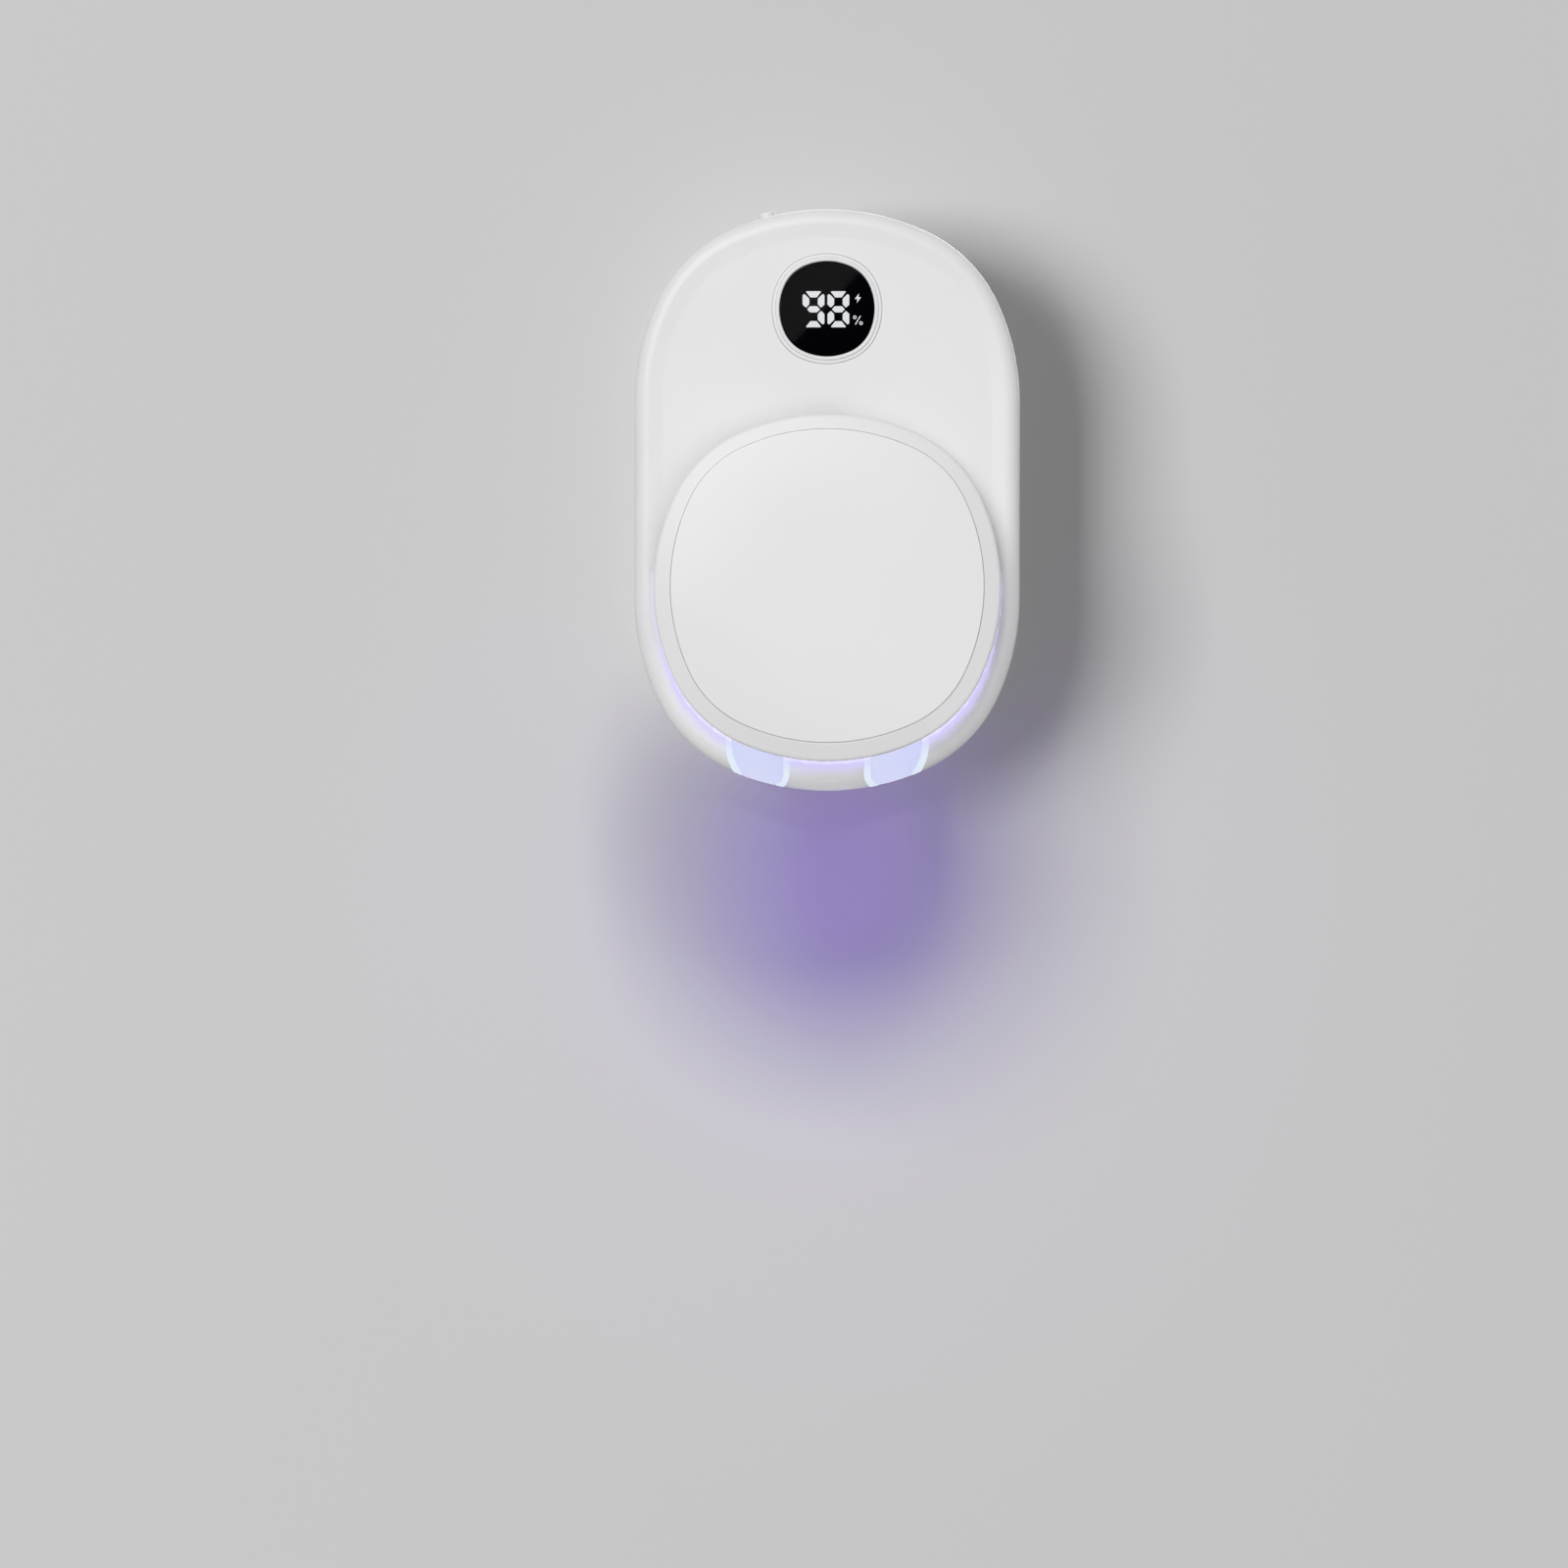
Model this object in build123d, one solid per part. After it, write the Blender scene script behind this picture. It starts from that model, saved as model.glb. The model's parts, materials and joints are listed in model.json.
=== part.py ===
from build123d import *
import os
from math import acos, asin, cos, degrees, radians, sin, sqrt

# Wall-hung ultraviolet sanitizer for two toothbrush heads. A capsule-shaped casing slides down
# onto a wall bracket. Its upper half holds the battery gauge, control board and cell. Its lower
# half is a white chamber, closed by a domed door that swings up about a pin at its top edge.
# Two brush necks hang in the slots at the bottom of the casing, with their heads in the chamber.
#
# X runs to the right, Y into the wall, Z up. The origin is the centre of the adhesive pad's
# back face, on the wall. Depths below are distances out from the wall: depth 30 is Y = -30.

# ---------------------------------------------------------------- driving dimensions (mm)
CASING_HALF_WIDTH = 39.5
CASING_RISE = 20.1          # half of the straight side between the two rounded ends
CASING_REACH = 1.039        # diagonal of a rounded end, against a true circle's 1
REAR = 5.8                  # depth of the casing's back face
PARTING = 13.0              # depth where the rear cover meets the seal
SEAL = 0.35                 # thickness of the seal, which is also the visible seam
FACE = 30.2                 # depth of the sunken front face
CREST = 30.5                # depth of the raised rim round it
WALL = 2.2
FACE_WALL = 2.0
CREST_INSET = 3.0           # from the casing's outline to the inner edge of the rim
DISH_INSET = 5.8            # from the casing's outline to the flat of the front face
RIM_ROUNDING = 2.7          # outer edge of the rim

DOOR_HALF = 35.5
DOOR_Z = -18.2
DOOR_REACH = 1.039
DOOR_BACK = 31.2
DOOR_EDGE = 37.9            # depth where the side wall turns into the sloping border
DOOR_SEAM = 39.0            # depth of the border's inner edge, at the cap
DOOR_CEILING = 36.4         # depth of the hollow's ceiling
DOOR_BORDER = 3.6           # width of the sloping border
CAP_HALF = 32.0
CAP_Z = -17.8
CAP_REACH = 1.05
CAP_SEAT = 38.0
CAP_DOME = 0.9
CAP_GAP = 0.03              # all round the panel, on each side of the seam

PIN_Z = 13.6
PIN_DEPTH = 34.2
PIN_RADIUS = 0.9
PIN_LENGTH = 24.0
EAR_RADIUS = 2.0
EAR_INNER_X = 4.0
EAR_OUTER_X = 8.0
KNUCKLE_INNER_X = 9.0
KNUCKLE_OUTER_X = 12.6
DOOR_TOP_NOTCH = 8.8        # half width of the gap that the ears need in the door's top wall

CHAMBER_HALF = 26.9
CHAMBER_STRETCH = 2.6       # extra half width, straight along the top and bottom
CHAMBER_Z = -18.9
CHAMBER_REACH = 1.05
CHAMBER_FLOOR = 14.1
TUB_WALL = 1.6
TUB_BACK = 12.9
TUB_FRONT = FACE - FACE_WALL - 0.1

SLOT_X = 14.1
SLOT_TOP = -38.0
SLOT_BOTTOM = -62.0
SLOT_FLOOR = 15.9           # depth of the seat that the brush neck rests against
SLOT_LINING = 1.2

DISPLAY_Z = 39.1
LENS_HALF = 9.7
BEZEL_HALF = 11.25
BEZEL_FRONT = FACE + 0.15
BEAD_HALF = 10.6            # outer edge of the rounded bead round the lens
DISPLAY_REACH = 1.027
LENS_BACK = 28.94
LENS_FRONT = 30.1
MARK_BACK = 28.52           # depth of the lit marks
MARK_FRONT = 28.72
MARK_CORNER = 0.12

BOARD_BACK = 18.2
BOARD_FRONT = 19.4
USB_WIDTH = 8.94
USB_HEIGHT = 3.26
USB_DEPTH = BOARD_FRONT + USB_HEIGHT / 2

BUTTON_X = -12.15
BUTTON_DEPTH = 21.0
BUTTON_PROUD = 1.3
BUTTON_TRAVEL = 0.5

PAD_DEPTH = 0.8
BRACKET_FRONT = 2.6
RAIL_FRONT = 5.6
LIP_BACK = 4.4
T_FLANGE = (2.8, 4.2)       # depths of the hanging flange on the casing's back
T_HALF_WIDTH = 13.0
T_STEM_HALF = 9.9
T_BOTTOM = -14.8
RAIL_TOP = 14.0

SCREW_RADIUS = 1.1
CASING_SCREWS = [(-30.0, 34.0), (30.0, 34.0), (-26.7, -42.0), (26.7, -42.0)]
TUB_SCREWS = [(-33.6, -8.0), (33.6, -8.0), (-33.6, -28.0), (33.6, -28.0)]
BOARD_SCREWS = [(-20.5, 22.5), (20.5, 22.5), (-19.0, 43.0), (19.0, 43.0)]
LED_Z = -8.0
LED_SCREWS = [(-18.0, LED_Z), (18.0, LED_Z)]
DOOR_POSTS = [(-24.0, 2.0), (24.0, 2.0), (-22.0, -40.0), (22.0, -40.0)]
MAGNET_Z = -49.6
MAGNET_RADIUS = 2.0
SIDE_SWEEP = 25             # degrees turned by each flatter arc of a soft outline


# ---------------------------------------------------------------- outlines and solids
def soft_sizes(half, reach):
    """Radii of a soft outline's side and corner arcs, and how far a corner's centre is out."""
    sweep = radians(SIDE_SWEEP)
    lean = cos(sweep) - sin(sweep)
    side = half * (1 + (reach - 1) / (1 - (1 - sqrt(2) * sin(sweep)) / lean))
    corner = side - (side - half) / lean
    return side, corner, (side - corner) * sin(sweep)


def soft_outline(half, reach, rise=0.0, inset=0.0):
    """A rounded square of tangent arcs, with its sides straight for 2 x rise. Inset is parallel."""
    side, corner, out = soft_sizes(half, reach)
    turn = SIDE_SWEEP
    bend = 90 - 2 * turn
    flat_in = side - half
    side -= inset
    corner -= inset
    edges = [
        CenterArc((-flat_in, rise), side, 0, turn),
        CenterArc((out, rise + out), corner, turn, bend),
        CenterArc((0, rise - flat_in), side, 90 - turn, 2 * turn),
        CenterArc((-out, rise + out), corner, 90 + turn, bend),
        CenterArc((flat_in, rise), side, 180 - turn, turn),
        CenterArc((flat_in, -rise), side, 180, turn),
        CenterArc((-out, -rise - out), corner, 180 + turn, bend),
        CenterArc((0, -rise + flat_in), side, 270 - turn, 2 * turn),
        CenterArc((out, -rise - out), corner, 270 + turn, bend),
        CenterArc((-flat_in, -rise), side, 360 - turn, turn),
    ]
    if rise:
        edges.insert(5, Line((-half + inset, rise), (-half + inset, -rise)))
        edges.append(Line((half - inset, -rise), (half - inset, rise)))
    return make_face(edges)


def casing_outline(inset=0.0):
    return soft_outline(CASING_HALF_WIDTH, CASING_REACH, CASING_RISE, inset)


def door_outline(inset=0.0):
    return Pos(0, DOOR_Z) * soft_outline(DOOR_HALF, DOOR_REACH, inset=inset)


def cap_outline(inset=0.0):
    return Pos(0, CAP_Z) * soft_outline(CAP_HALF, CAP_REACH, inset=inset)


def chamber_outline(inset=0.0):
    shape = soft_outline(CHAMBER_HALF, CHAMBER_REACH, CHAMBER_STRETCH, inset)
    return Pos(0, CHAMBER_Z) * Rot(0, 0, 90) * shape


def display_outline(half, inset=0.0):
    return Pos(0, DISPLAY_Z) * soft_outline(half, DISPLAY_REACH, inset=inset)


def slab(face, low, high):
    """The solid of a face drawn in X and Z, between two depths from the wall."""
    return extrude(Plane.XZ.offset(low) * face, amount=high - low, dir=(0, -1, 0))


def block(x, z, depths):
    """A box from its ranges in X, in Z and in depth."""
    width, height = x[1] - x[0], z[1] - z[0]
    face = Pos((x[0] + x[1]) / 2, (z[0] + z[1]) / 2) * Rectangle(width, height)
    return slab(face, *depths)


def rod(x, z, radius, depths):
    return slab(Pos(x, z) * Circle(radius), *depths)


def pin_rod(radius, x):
    """A cylinder on the door's hinge axis, between two X values."""
    return extrude(Plane.YZ.offset(x[0]) * Pos(-PIN_DEPTH, PIN_Z) * Circle(radius), amount=x[1] - x[0])


def front_edges(solid):
    return solid.faces().sort_by(Axis.Y)[0].edges()


def back_edges(solid):
    return solid.faces().sort_by(Axis.Y)[-1].edges()


def each(places, make):
    """The same shape at several (x, z) places."""
    return [make(x, z) for x, z in places]


def button_place():
    """The button's place on the casing's crown: X right, Z out along the surface normal."""
    side, _, _ = soft_sizes(CASING_HALF_WIDTH, CASING_REACH)
    centre_z = CASING_RISE + CASING_HALF_WIDTH - side
    lean = asin(-BUTTON_X / side)
    top_z = centre_z + side * cos(lean)
    return Location((BUTTON_X, -BUTTON_DEPTH, top_z), (0, -degrees(lean), 0))


def slot_outline(grow=0.0):
    """A brush slot seen from the front, for the slot on the right: a pocket that narrows to a
    neck-wide throat, gently on its outer wall and sharply on its inner one."""
    inner, outer = 5.2, 5.5
    inner_throat, outer_throat = 3.7, 3.4
    inner_bend, outer_bend = 2.2, 11.0
    inner_start, outer_start = -56.2, -49.5
    inner_turn = degrees(acos((grow + inner_throat - inner + inner_bend) / (inner_bend + grow)))
    outer_turn = degrees(acos((grow + outer_throat - outer + outer_bend) / (outer_bend + grow)))
    inner_arc = CenterArc((inner_bend - inner, inner_start), inner_bend + grow, 180, inner_turn)
    outer_arc = CenterArc((outer - outer_bend, outer_start), outer_bend + grow, -outer_turn, outer_turn)
    edges = [
        Line((-inner - grow, SLOT_TOP), (-inner - grow, inner_start)),
        inner_arc,
        Line(inner_arc @ 1, (-inner_throat - grow, SLOT_BOTTOM)),
        Line((-inner_throat - grow, SLOT_BOTTOM), (outer_throat + grow, SLOT_BOTTOM)),
        Line((outer_throat + grow, SLOT_BOTTOM), outer_arc @ 0),
        outer_arc,
        Line(outer_arc @ 1, (outer + grow, SLOT_TOP)),
        Line((outer + grow, SLOT_TOP), (-inner - grow, SLOT_TOP)),
    ]
    return Pos(SLOT_X, 0) * make_face(edges)


def both_sides(shape):
    """A shape and its mirror image in the plane X = 0."""
    return shape + mirror(shape, Plane.YZ)


# ---------------------------------------------------------------- casing
def casing_envelope():
    """The casing's outside as one solid: rounded rim, sunken face, softened back edge."""
    depth = CREST - FACE
    grow = degrees(acos(depth / sqrt(depth**2 + (DISH_INSET - CREST_INSET) ** 2)))
    floor = Plane.XZ.offset(FACE) * casing_outline(DISH_INSET)
    dish = extrude(floor, amount=depth + 0.05, dir=(0, -1, 0), taper=-grow)
    dish = fillet(back_edges(dish), 6.0)
    shape = slab(casing_outline(), REAR, CREST) - dish
    rim = shape.faces().sort_by(Axis.Y)[0]
    shape = fillet(rim.inner_wires()[0].edges(), 2.0)
    rim = shape.faces().sort_by(Axis.Y)[0]
    shape = fillet(rim.outer_wire().edges(), RIM_ROUNDING)
    return fillet(back_edges(shape), 1.6)


def button_hole(clearance):
    """The pill-shaped hole or cap of the power button, in the button's own frame."""
    return SlotOverall(8.0 + 2 * clearance, 3.4 + 2 * clearance, rotation=90)


def front_shell(envelope):
    """The moulded front casing, with its screw bosses and the two hinge ears."""
    inner = FACE - FACE_WALL
    shape = envelope - slab(Rectangle(200, 200), 0, PARTING + SEAL)
    shape -= slab(casing_outline(WALL), 0, inner)
    boss_start = PARTING + SEAL + 0.1
    for boss in each(CASING_SCREWS, lambda x, z: rod(x, z, 2.5, (boss_start, inner + 0.2))):
        shape += boss
    for boss in each(TUB_SCREWS, lambda x, z: rod(x, z, 2.4, (24.1, inner + 0.2))):
        shape += boss
    for boss in each(BOARD_SCREWS, lambda x, z: rod(x, z, 2.3, (BOARD_FRONT + 0.05, inner + 0.2))):
        shape += boss
    shape -= each(CASING_SCREWS, lambda x, z: rod(x, z, SCREW_RADIUS + 0.02, (0, 24)))
    shape -= each(TUB_SCREWS, lambda x, z: rod(x, z, 0.82, (0, 28)))
    shape -= each(BOARD_SCREWS, lambda x, z: rod(x, z, 0.82, (0, 25)))
    shape -= slab(chamber_outline(), 20, 40)
    shape -= both_sides(slab(slot_outline(SLOT_LINING + 0.08), SLOT_FLOOR - SLOT_LINING - 0.08, 40))
    shape -= slab(display_outline(BEZEL_HALF + 0.07), 20, 40)
    port = Pos(0, -USB_DEPTH, 50) * SlotOverall(USB_WIDTH + 0.8, USB_HEIGHT + 0.8)
    shape -= extrude(port, amount=20)
    shape -= button_place() * extrude(Pos(0, 0, -8) * button_hole(0.15), amount=12)
    ears = hinge_ear(EAR_INNER_X, EAR_OUTER_X) + hinge_ear(-EAR_OUTER_X, -EAR_INNER_X)
    shape += ears
    shape -= rod(0, MAGNET_Z, MAGNET_RADIUS + 0.05, (20, FACE - 0.9))
    return shape - pin_rod(PIN_RADIUS + 0.05, (-10, 10))


def hinge_ear(left, right):
    """One ear standing out of the front face, rounded about the hinge pin."""
    base = block((left, right), (PIN_Z - EAR_RADIUS, PIN_Z + EAR_RADIUS), (FACE - 0.5, PIN_DEPTH))
    return base + pin_rod(EAR_RADIUS, (left, right))


def rear_cover(envelope):
    """The back half of the casing, with the T-shaped flange that hangs on the bracket."""
    floor = REAR + 2.0
    shape = envelope - slab(Rectangle(200, 200), PARTING, 60)
    shape -= slab(casing_outline(WALL + 1.1), floor, 60)
    lip = casing_outline(WALL + 0.1) - casing_outline(WALL + 1.1)
    lip = slab(lip, PARTING - 0.5, PARTING + 2.2)
    shape += lip - both_sides(slab(slot_outline(SLOT_LINING + 0.1), SLOT_FLOOR - SLOT_LINING - 0.1, 40))
    for boss in each(CASING_SCREWS, lambda x, z: rod(x, z, 3.0, (floor - 0.2, PARTING + 0.3))):
        shape += boss
    shape -= each(CASING_SCREWS, lambda x, z: rod(x, z, SCREW_RADIUS + 0.15, (0, 20)))
    shape -= each(CASING_SCREWS, lambda x, z: rod(x, z, 2.3, (0, REAR + 2.2)))
    stem = block((-T_STEM_HALF, T_STEM_HALF), (T_BOTTOM, RAIL_TOP), (T_FLANGE[1] - 0.1, REAR + 0.2))
    flange = block((-T_HALF_WIDTH, T_HALF_WIDTH), (T_BOTTOM, RAIL_TOP), T_FLANGE)
    flange = chamfer(flange.edges().filter_by(Axis.Y).sort_by(Axis.Z)[:2], 2.5)
    return shape + stem + flange


def casing_seal():
    ring = casing_outline(1.2) - casing_outline(WALL)
    return slab(ring, PARTING, PARTING + SEAL)


def screw(x, z, radius, head, depths, head_height):
    """A pan-head screw driven from the back, with a cross slot in its head."""
    low, high = depths
    body = rod(x, z, radius, (low + head_height, high))
    top = rod(x, z, head, (low, low + head_height))
    top = fillet(back_edges(top), head_height * 0.45)
    for width, height in ((head * 1.1, 0.45), (0.45, head * 1.1)):
        top -= slab(Pos(x, z) * Rectangle(width, height), low - 1, low + head_height * 0.5)
    return top + body


def casing_screws():
    return each(CASING_SCREWS, lambda x, z: screw(x, z, SCREW_RADIUS, 2.0, (REAR + 0.5, 21.0), 1.6))


def tub_screws():
    return each(TUB_SCREWS, lambda x, z: screw(x, z, 0.8, 1.5, (21.35, 27.0), 1.2))


def board_screws():
    return each(BOARD_SCREWS, lambda x, z: screw(x, z, 0.8, 1.5, (BOARD_BACK - 1.1, 24.0), 1.05))


# ---------------------------------------------------------------- chamber
def chamber_tub(envelope):
    """The white tray behind the door, with a lined slot for each brush neck."""
    shape = slab(chamber_outline(-TUB_WALL), TUB_BACK, TUB_FRONT)
    void = slab(chamber_outline(), CHAMBER_FLOOR, 45)
    void = fillet(back_edges(void), 3.0)
    lining = slab(slot_outline(SLOT_LINING), SLOT_FLOOR - SLOT_LINING, 45) & envelope
    shape += both_sides(lining)
    for x, z in TUB_SCREWS:
        inward = (28.0, x) if x > 0 else (x, -28.0)
        shape += rod(x, z, 2.4, (22.6, 24.05)) + block(inward, (z - 2.4, z + 2.4), (22.6, 24.05))
    shape -= void
    slot = slab(slot_outline(), SLOT_FLOOR, 45)
    slot = fillet(back_edges(slot).filter_by(GeomType.LINE).filter_by(Axis.Z), 1.8)
    shape -= both_sides(slot)
    shape -= each(TUB_SCREWS, lambda x, z: rod(x, z, 0.9, (20, 26)))
    return shape - slab(Pos(0, LED_Z) * RectangleRounded(34, 9, 2.5), 10, 20)


def uv_window():
    """The clear cover over the lamps, stepped so that it fills the hole in the tub's floor."""
    flange = slab(Pos(0, LED_Z) * RectangleRounded(37.5, 12.5, 3.5), TUB_BACK - 1.0, TUB_BACK - 0.02)
    raised = slab(Pos(0, LED_Z) * RectangleRounded(33.8, 8.8, 2.4), TUB_BACK - 0.1, CHAMBER_FLOOR - 0.1)
    return flange + raised


def uv_led_board():
    board = slab(Pos(0, LED_Z) * RectangleRounded(44, 15, 1.5), 9.0, 10.0)
    return board - each(LED_SCREWS, lambda x, z: rod(x, z, 0.95, (5, 15)))


def led_posts():
    """Spacers behind the lamp board, standing on the rear cover."""
    posts = each(LED_SCREWS, lambda x, z: rod(x, z, 2.2, (REAR + 2.02, 8.98)))
    return [post - rod(x, z, 0.7, (8.0, 10)) for post, (x, z) in zip(posts, LED_SCREWS)]


def led_screw(x, z):
    """A small pan-head screw driven from the front into a lamp-board spacer."""
    body = rod(x, z, 0.68, (8.1, 10.05))
    head = fillet(front_edges(rod(x, z, 1.4, (10.02, 10.9))), 0.35)
    return body + head


def uv_leds():
    """Three square lamp packages, each with a round quartz dome."""
    lamps = []
    for x in (-9.0, 0.0, 9.0):
        base = block((x - 1.75, x + 1.75), (LED_Z - 1.75, LED_Z + 1.75), (10.02, 10.9))
        lamps.append(base + rod(x, LED_Z, 1.25, (10.8, 11.5)))
    return lamps


# ---------------------------------------------------------------- display
def display_bezel():
    """The white ring round the gauge: a flange behind the face, a flat band and a round bead."""
    flange = slab(display_outline(BEZEL_HALF + 1.3), 27.1, FACE - FACE_WALL - 0.05)
    neck = slab(display_outline(BEZEL_HALF), 27.1, BEZEL_FRONT)
    neck = fillet(front_edges(neck), 0.12)
    ring = flange + neck - slab(display_outline(LENS_HALF - 0.8), 20, 40)
    ring -= slab(display_outline(LENS_HALF + 0.05), LENS_BACK - 0.14, 40)
    groove = display_outline(BEAD_HALF + 0.08) - display_outline(BEAD_HALF)
    ring -= slab(groove, BEZEL_FRONT - 0.1, 40)
    bead = slab(display_outline(BEAD_HALF) - display_outline(LENS_HALF + 0.05), 29.2, BEZEL_FRONT + 0.25)
    return ring + fillet(front_edges(bead), 0.36)


def display_lens():
    lens = slab(display_outline(LENS_HALF), LENS_BACK, LENS_FRONT)
    return fillet(front_edges(lens), 0.1)


def lens_tape():
    """The black adhesive ring between the lens and the bezel's ledge."""
    ring = display_outline(LENS_HALF - 0.05) - display_outline(8.2)
    return slab(ring, LENS_BACK - 0.12, LENS_BACK - 0.02)


def display_module():
    """The black digit block, with the round pedestal that its lit segments shine through."""
    body = block((-11, 11), (DISPLAY_Z - 8, DISPLAY_Z + 8), (21.6, 26.9))
    return body + rod(0, DISPLAY_Z, 8.75, (26.8, MARK_BACK - 0.02))


def display_pins():
    xs = [-8 + 4 * i for i in range(5)]
    places = [(x, DISPLAY_Z + side * 6.5) for x in xs for side in (-1, 1)]
    return each(places, lambda x, z: rod(x, z, 0.3, (BOARD_FRONT, 21.58)))


def lit(face, x=0.0, z=0.0):
    """One lit mark of the gauge, from its face about (x, z)."""
    return slab(Pos(x, DISPLAY_Z + z) * face, MARK_BACK, MARK_FRONT)


def rounded_mark(points):
    face = make_face(Polyline(*points, close=True))
    return fillet(face.vertices(), MARK_CORNER)


def display_segments():
    """A battery reading of two seven-segment digits, a charging flash and a per cent sign."""
    top = [(-1.64, 3.7), (-0.66, 2.43), (0.66, 2.43), (1.64, 3.7)]
    bar = [(-1.33, 0), (-0.72, -0.64), (0.72, -0.64), (1.33, 0), (0.72, 0.64), (-0.72, 0.64)]
    post = [(-2.24, 0.95), (-1.53, 0.32), (-0.87, 1.03), (-0.87, 2.16), (-1.86, 3.12), (-2.24, 2.9)]

    def flipped(points, x_sign, z_sign):
        return [(x * x_sign, z * z_sign) for x, z in points]

    parts = {
        "top": top,
        "bottom": flipped(top, 1, -1),
        "middle": bar,
        "upper_left": post,
        "upper_right": flipped(post, -1, 1),
        "lower_left": flipped(post, 1, -1),
        "lower_right": flipped(post, -1, -1),
    }
    faces = {name: rounded_mark(points) for name, points in parts.items()}
    marks = [lit(face, x=-2.75) for name, face in faces.items() if name != "lower_left"]
    marks += [lit(face, x=2.35) for face in faces.values()]
    flash = [(0.24, 1.03), (-0.67, -0.16), (-0.1, -0.16), (-0.26, -1.03), (0.67, 0.22), (0.1, 0.22)]
    marks.append(lit(make_face(Polyline(*flash, close=True)), x=6.35, z=2.26))
    slash = [(-0.66, -0.9), (-0.4, -0.9), (0.66, 0.9), (0.4, 0.9)]
    marks.append(lit(make_face(Polyline(*slash, close=True)), x=6.35, z=-2.24))
    for side in (-1, 1):
        ring = Circle(0.38) - Circle(0.18)
        marks.append(lit(ring, x=6.35 + 0.64 * side, z=-2.24 - 0.6 * side))
    return marks


# ---------------------------------------------------------------- electronics
def main_board():
    """The control board. Its upper corners follow the casing's rounded crown."""
    face = Pos(0, 35.5) * Rectangle(50, 35)
    face = fillet(face.vertices().sort_by(Axis.Y)[2:], 14.0)
    face = fillet(face.vertices().sort_by(Axis.Y)[:2], 1.0)
    board = slab(face, BOARD_BACK, BOARD_FRONT)
    return board - each(BOARD_SCREWS, lambda x, z: rod(x, z, 0.95, (15, 22)))


def board_chips():
    """Controller, charger, boost coil and capacitors on both faces of the control board."""
    chips = [
        block((-4, 4), (24, 30), (BOARD_FRONT + 0.02, 20.9)),
        block((-14.5, -9.5), (25, 29), (BOARD_FRONT + 0.02, 20.6)),
        block((10, 12), (24.5, 29.5), (BOARD_FRONT + 0.02, 20.4)),
        rod(13.7, 33.0, 2.3, (BOARD_FRONT + 0.02, 21.8)),
    ]
    for i in range(4):
        x = -9 + 6 * i
        chips.append(block((x, x + 2.0), (47.2, 48.4), (16.9, BOARD_BACK - 0.02)))
    return chips


def wire_plug(side):
    """The white two-way connector at one side of the control board; side is -1 or 1."""
    x = sorted((side * 16.9, side * 23.2))
    return block(x, (27.3, 33.3), (BOARD_FRONT + 0.02, 23.8))


def usb_socket():
    outer = SlotOverall(USB_WIDTH, USB_HEIGHT) - SlotOverall(USB_WIDTH - 0.6, USB_HEIGHT - 0.6)
    shell = extrude(Pos(0, -USB_DEPTH - 0.02, 50.8) * outer, amount=7.2)
    back = extrude(Pos(0, -USB_DEPTH - 0.02, 50.6) * SlotOverall(USB_WIDTH, USB_HEIGHT), amount=0.3)
    return shell + back


def usb_tongue():
    return extrude(Pos(0, -USB_DEPTH - 0.02, 50.92) * Rectangle(6.7, 0.7), amount=6.2)


def battery_cell():
    """A flat lithium pouch cell with softened long edges."""
    cell = block((-20, 20), (13.5, 46.5), (8.42, 14.9))
    return fillet(cell.edges().filter_by(Axis.Z), 2.0)


def battery_tape():
    return block((-17, 17), (16.5, 43.5), (REAR + 2.02, 8.4))


def wires(route, radius, step):
    """Two parallel round wires along one route of (x, z, depth) points; step parts them."""
    runs = []
    for side in (-0.5, 0.5):
        points = [(x, -depth, z + side * step) for x, z, depth in route]
        path = FilletPolyline(*points, radius=1.6)
        start = Plane(origin=path @ 0, z_dir=path % 0)
        runs.append(sweep(start * Circle(radius), path=path))
    return runs


def battery_leads():
    route = [(20.02, 30.3, 11.6), (27.2, 30.3, 11.6), (27.2, 30.3, 21.6), (23.22, 30.3, 21.6)]
    return wires(route, 0.55, 1.5)


def led_leads():
    route = [(-22.02, -6.5, 9.5), (-25.5, -6.5, 9.5), (-27.6, 12.0, 10.5), (-27.6, 30.3, 13.5),
             (-27.2, 30.3, 21.6), (-23.22, 30.3, 21.6)]
    return wires(route, 0.5, 1.4)


def sensor_leads():
    route = [(4.8, -49.6, 26.6), (4.8, -50.6, 21.0), (4.8, -50.2, 13.0), (4.6, -44.0, 10.6),
             (4.2, -28.0, 9.8), (4.2, -15.6, 9.5)]
    runs = []
    for side in (-0.6, 0.6):
        points = [(x + side, -depth, z) for x, z, depth in route]
        path = FilletPolyline(*points, radius=2.2)
        start = Plane(origin=path @ 0, z_dir=path % 0)
        runs.append(sweep(start * Circle(0.4), path=path))
    return runs


def door_sensor():
    board = block((2.7, 7.2), (-51.8, -47.6), (26.7, 27.4))
    return board + block((3.4, 6.2), (-51.0, -48.4), (27.3, 28.1))


def magnet(depths):
    disc = rod(0, MAGNET_Z, MAGNET_RADIUS, depths)
    return chamfer(disc.edges().filter_by(GeomType.CIRCLE), 0.2)


# ---------------------------------------------------------------- power button
def power_button():
    """A pill-shaped key in the crown, kept in by the flange under the casing's wall."""
    cap = extrude(Pos(0, 0, -3.4) * button_hole(0.0), amount=3.4 + BUTTON_PROUD)
    cap = fillet(cap.faces().sort_by(Axis.Z)[-1].edges(), 0.45)
    flange = extrude(Pos(0, 0, -3.4) * button_hole(1.1), amount=1.0)
    stem = extrude(Pos(0, 0, -4.6) * Circle(1.2), amount=1.3)
    return button_place() * (cap + flange + stem)


def switch_plunger():
    return button_place() * extrude(Pos(0, 0, -6.2) * Circle(0.8), amount=1.58)


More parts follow.
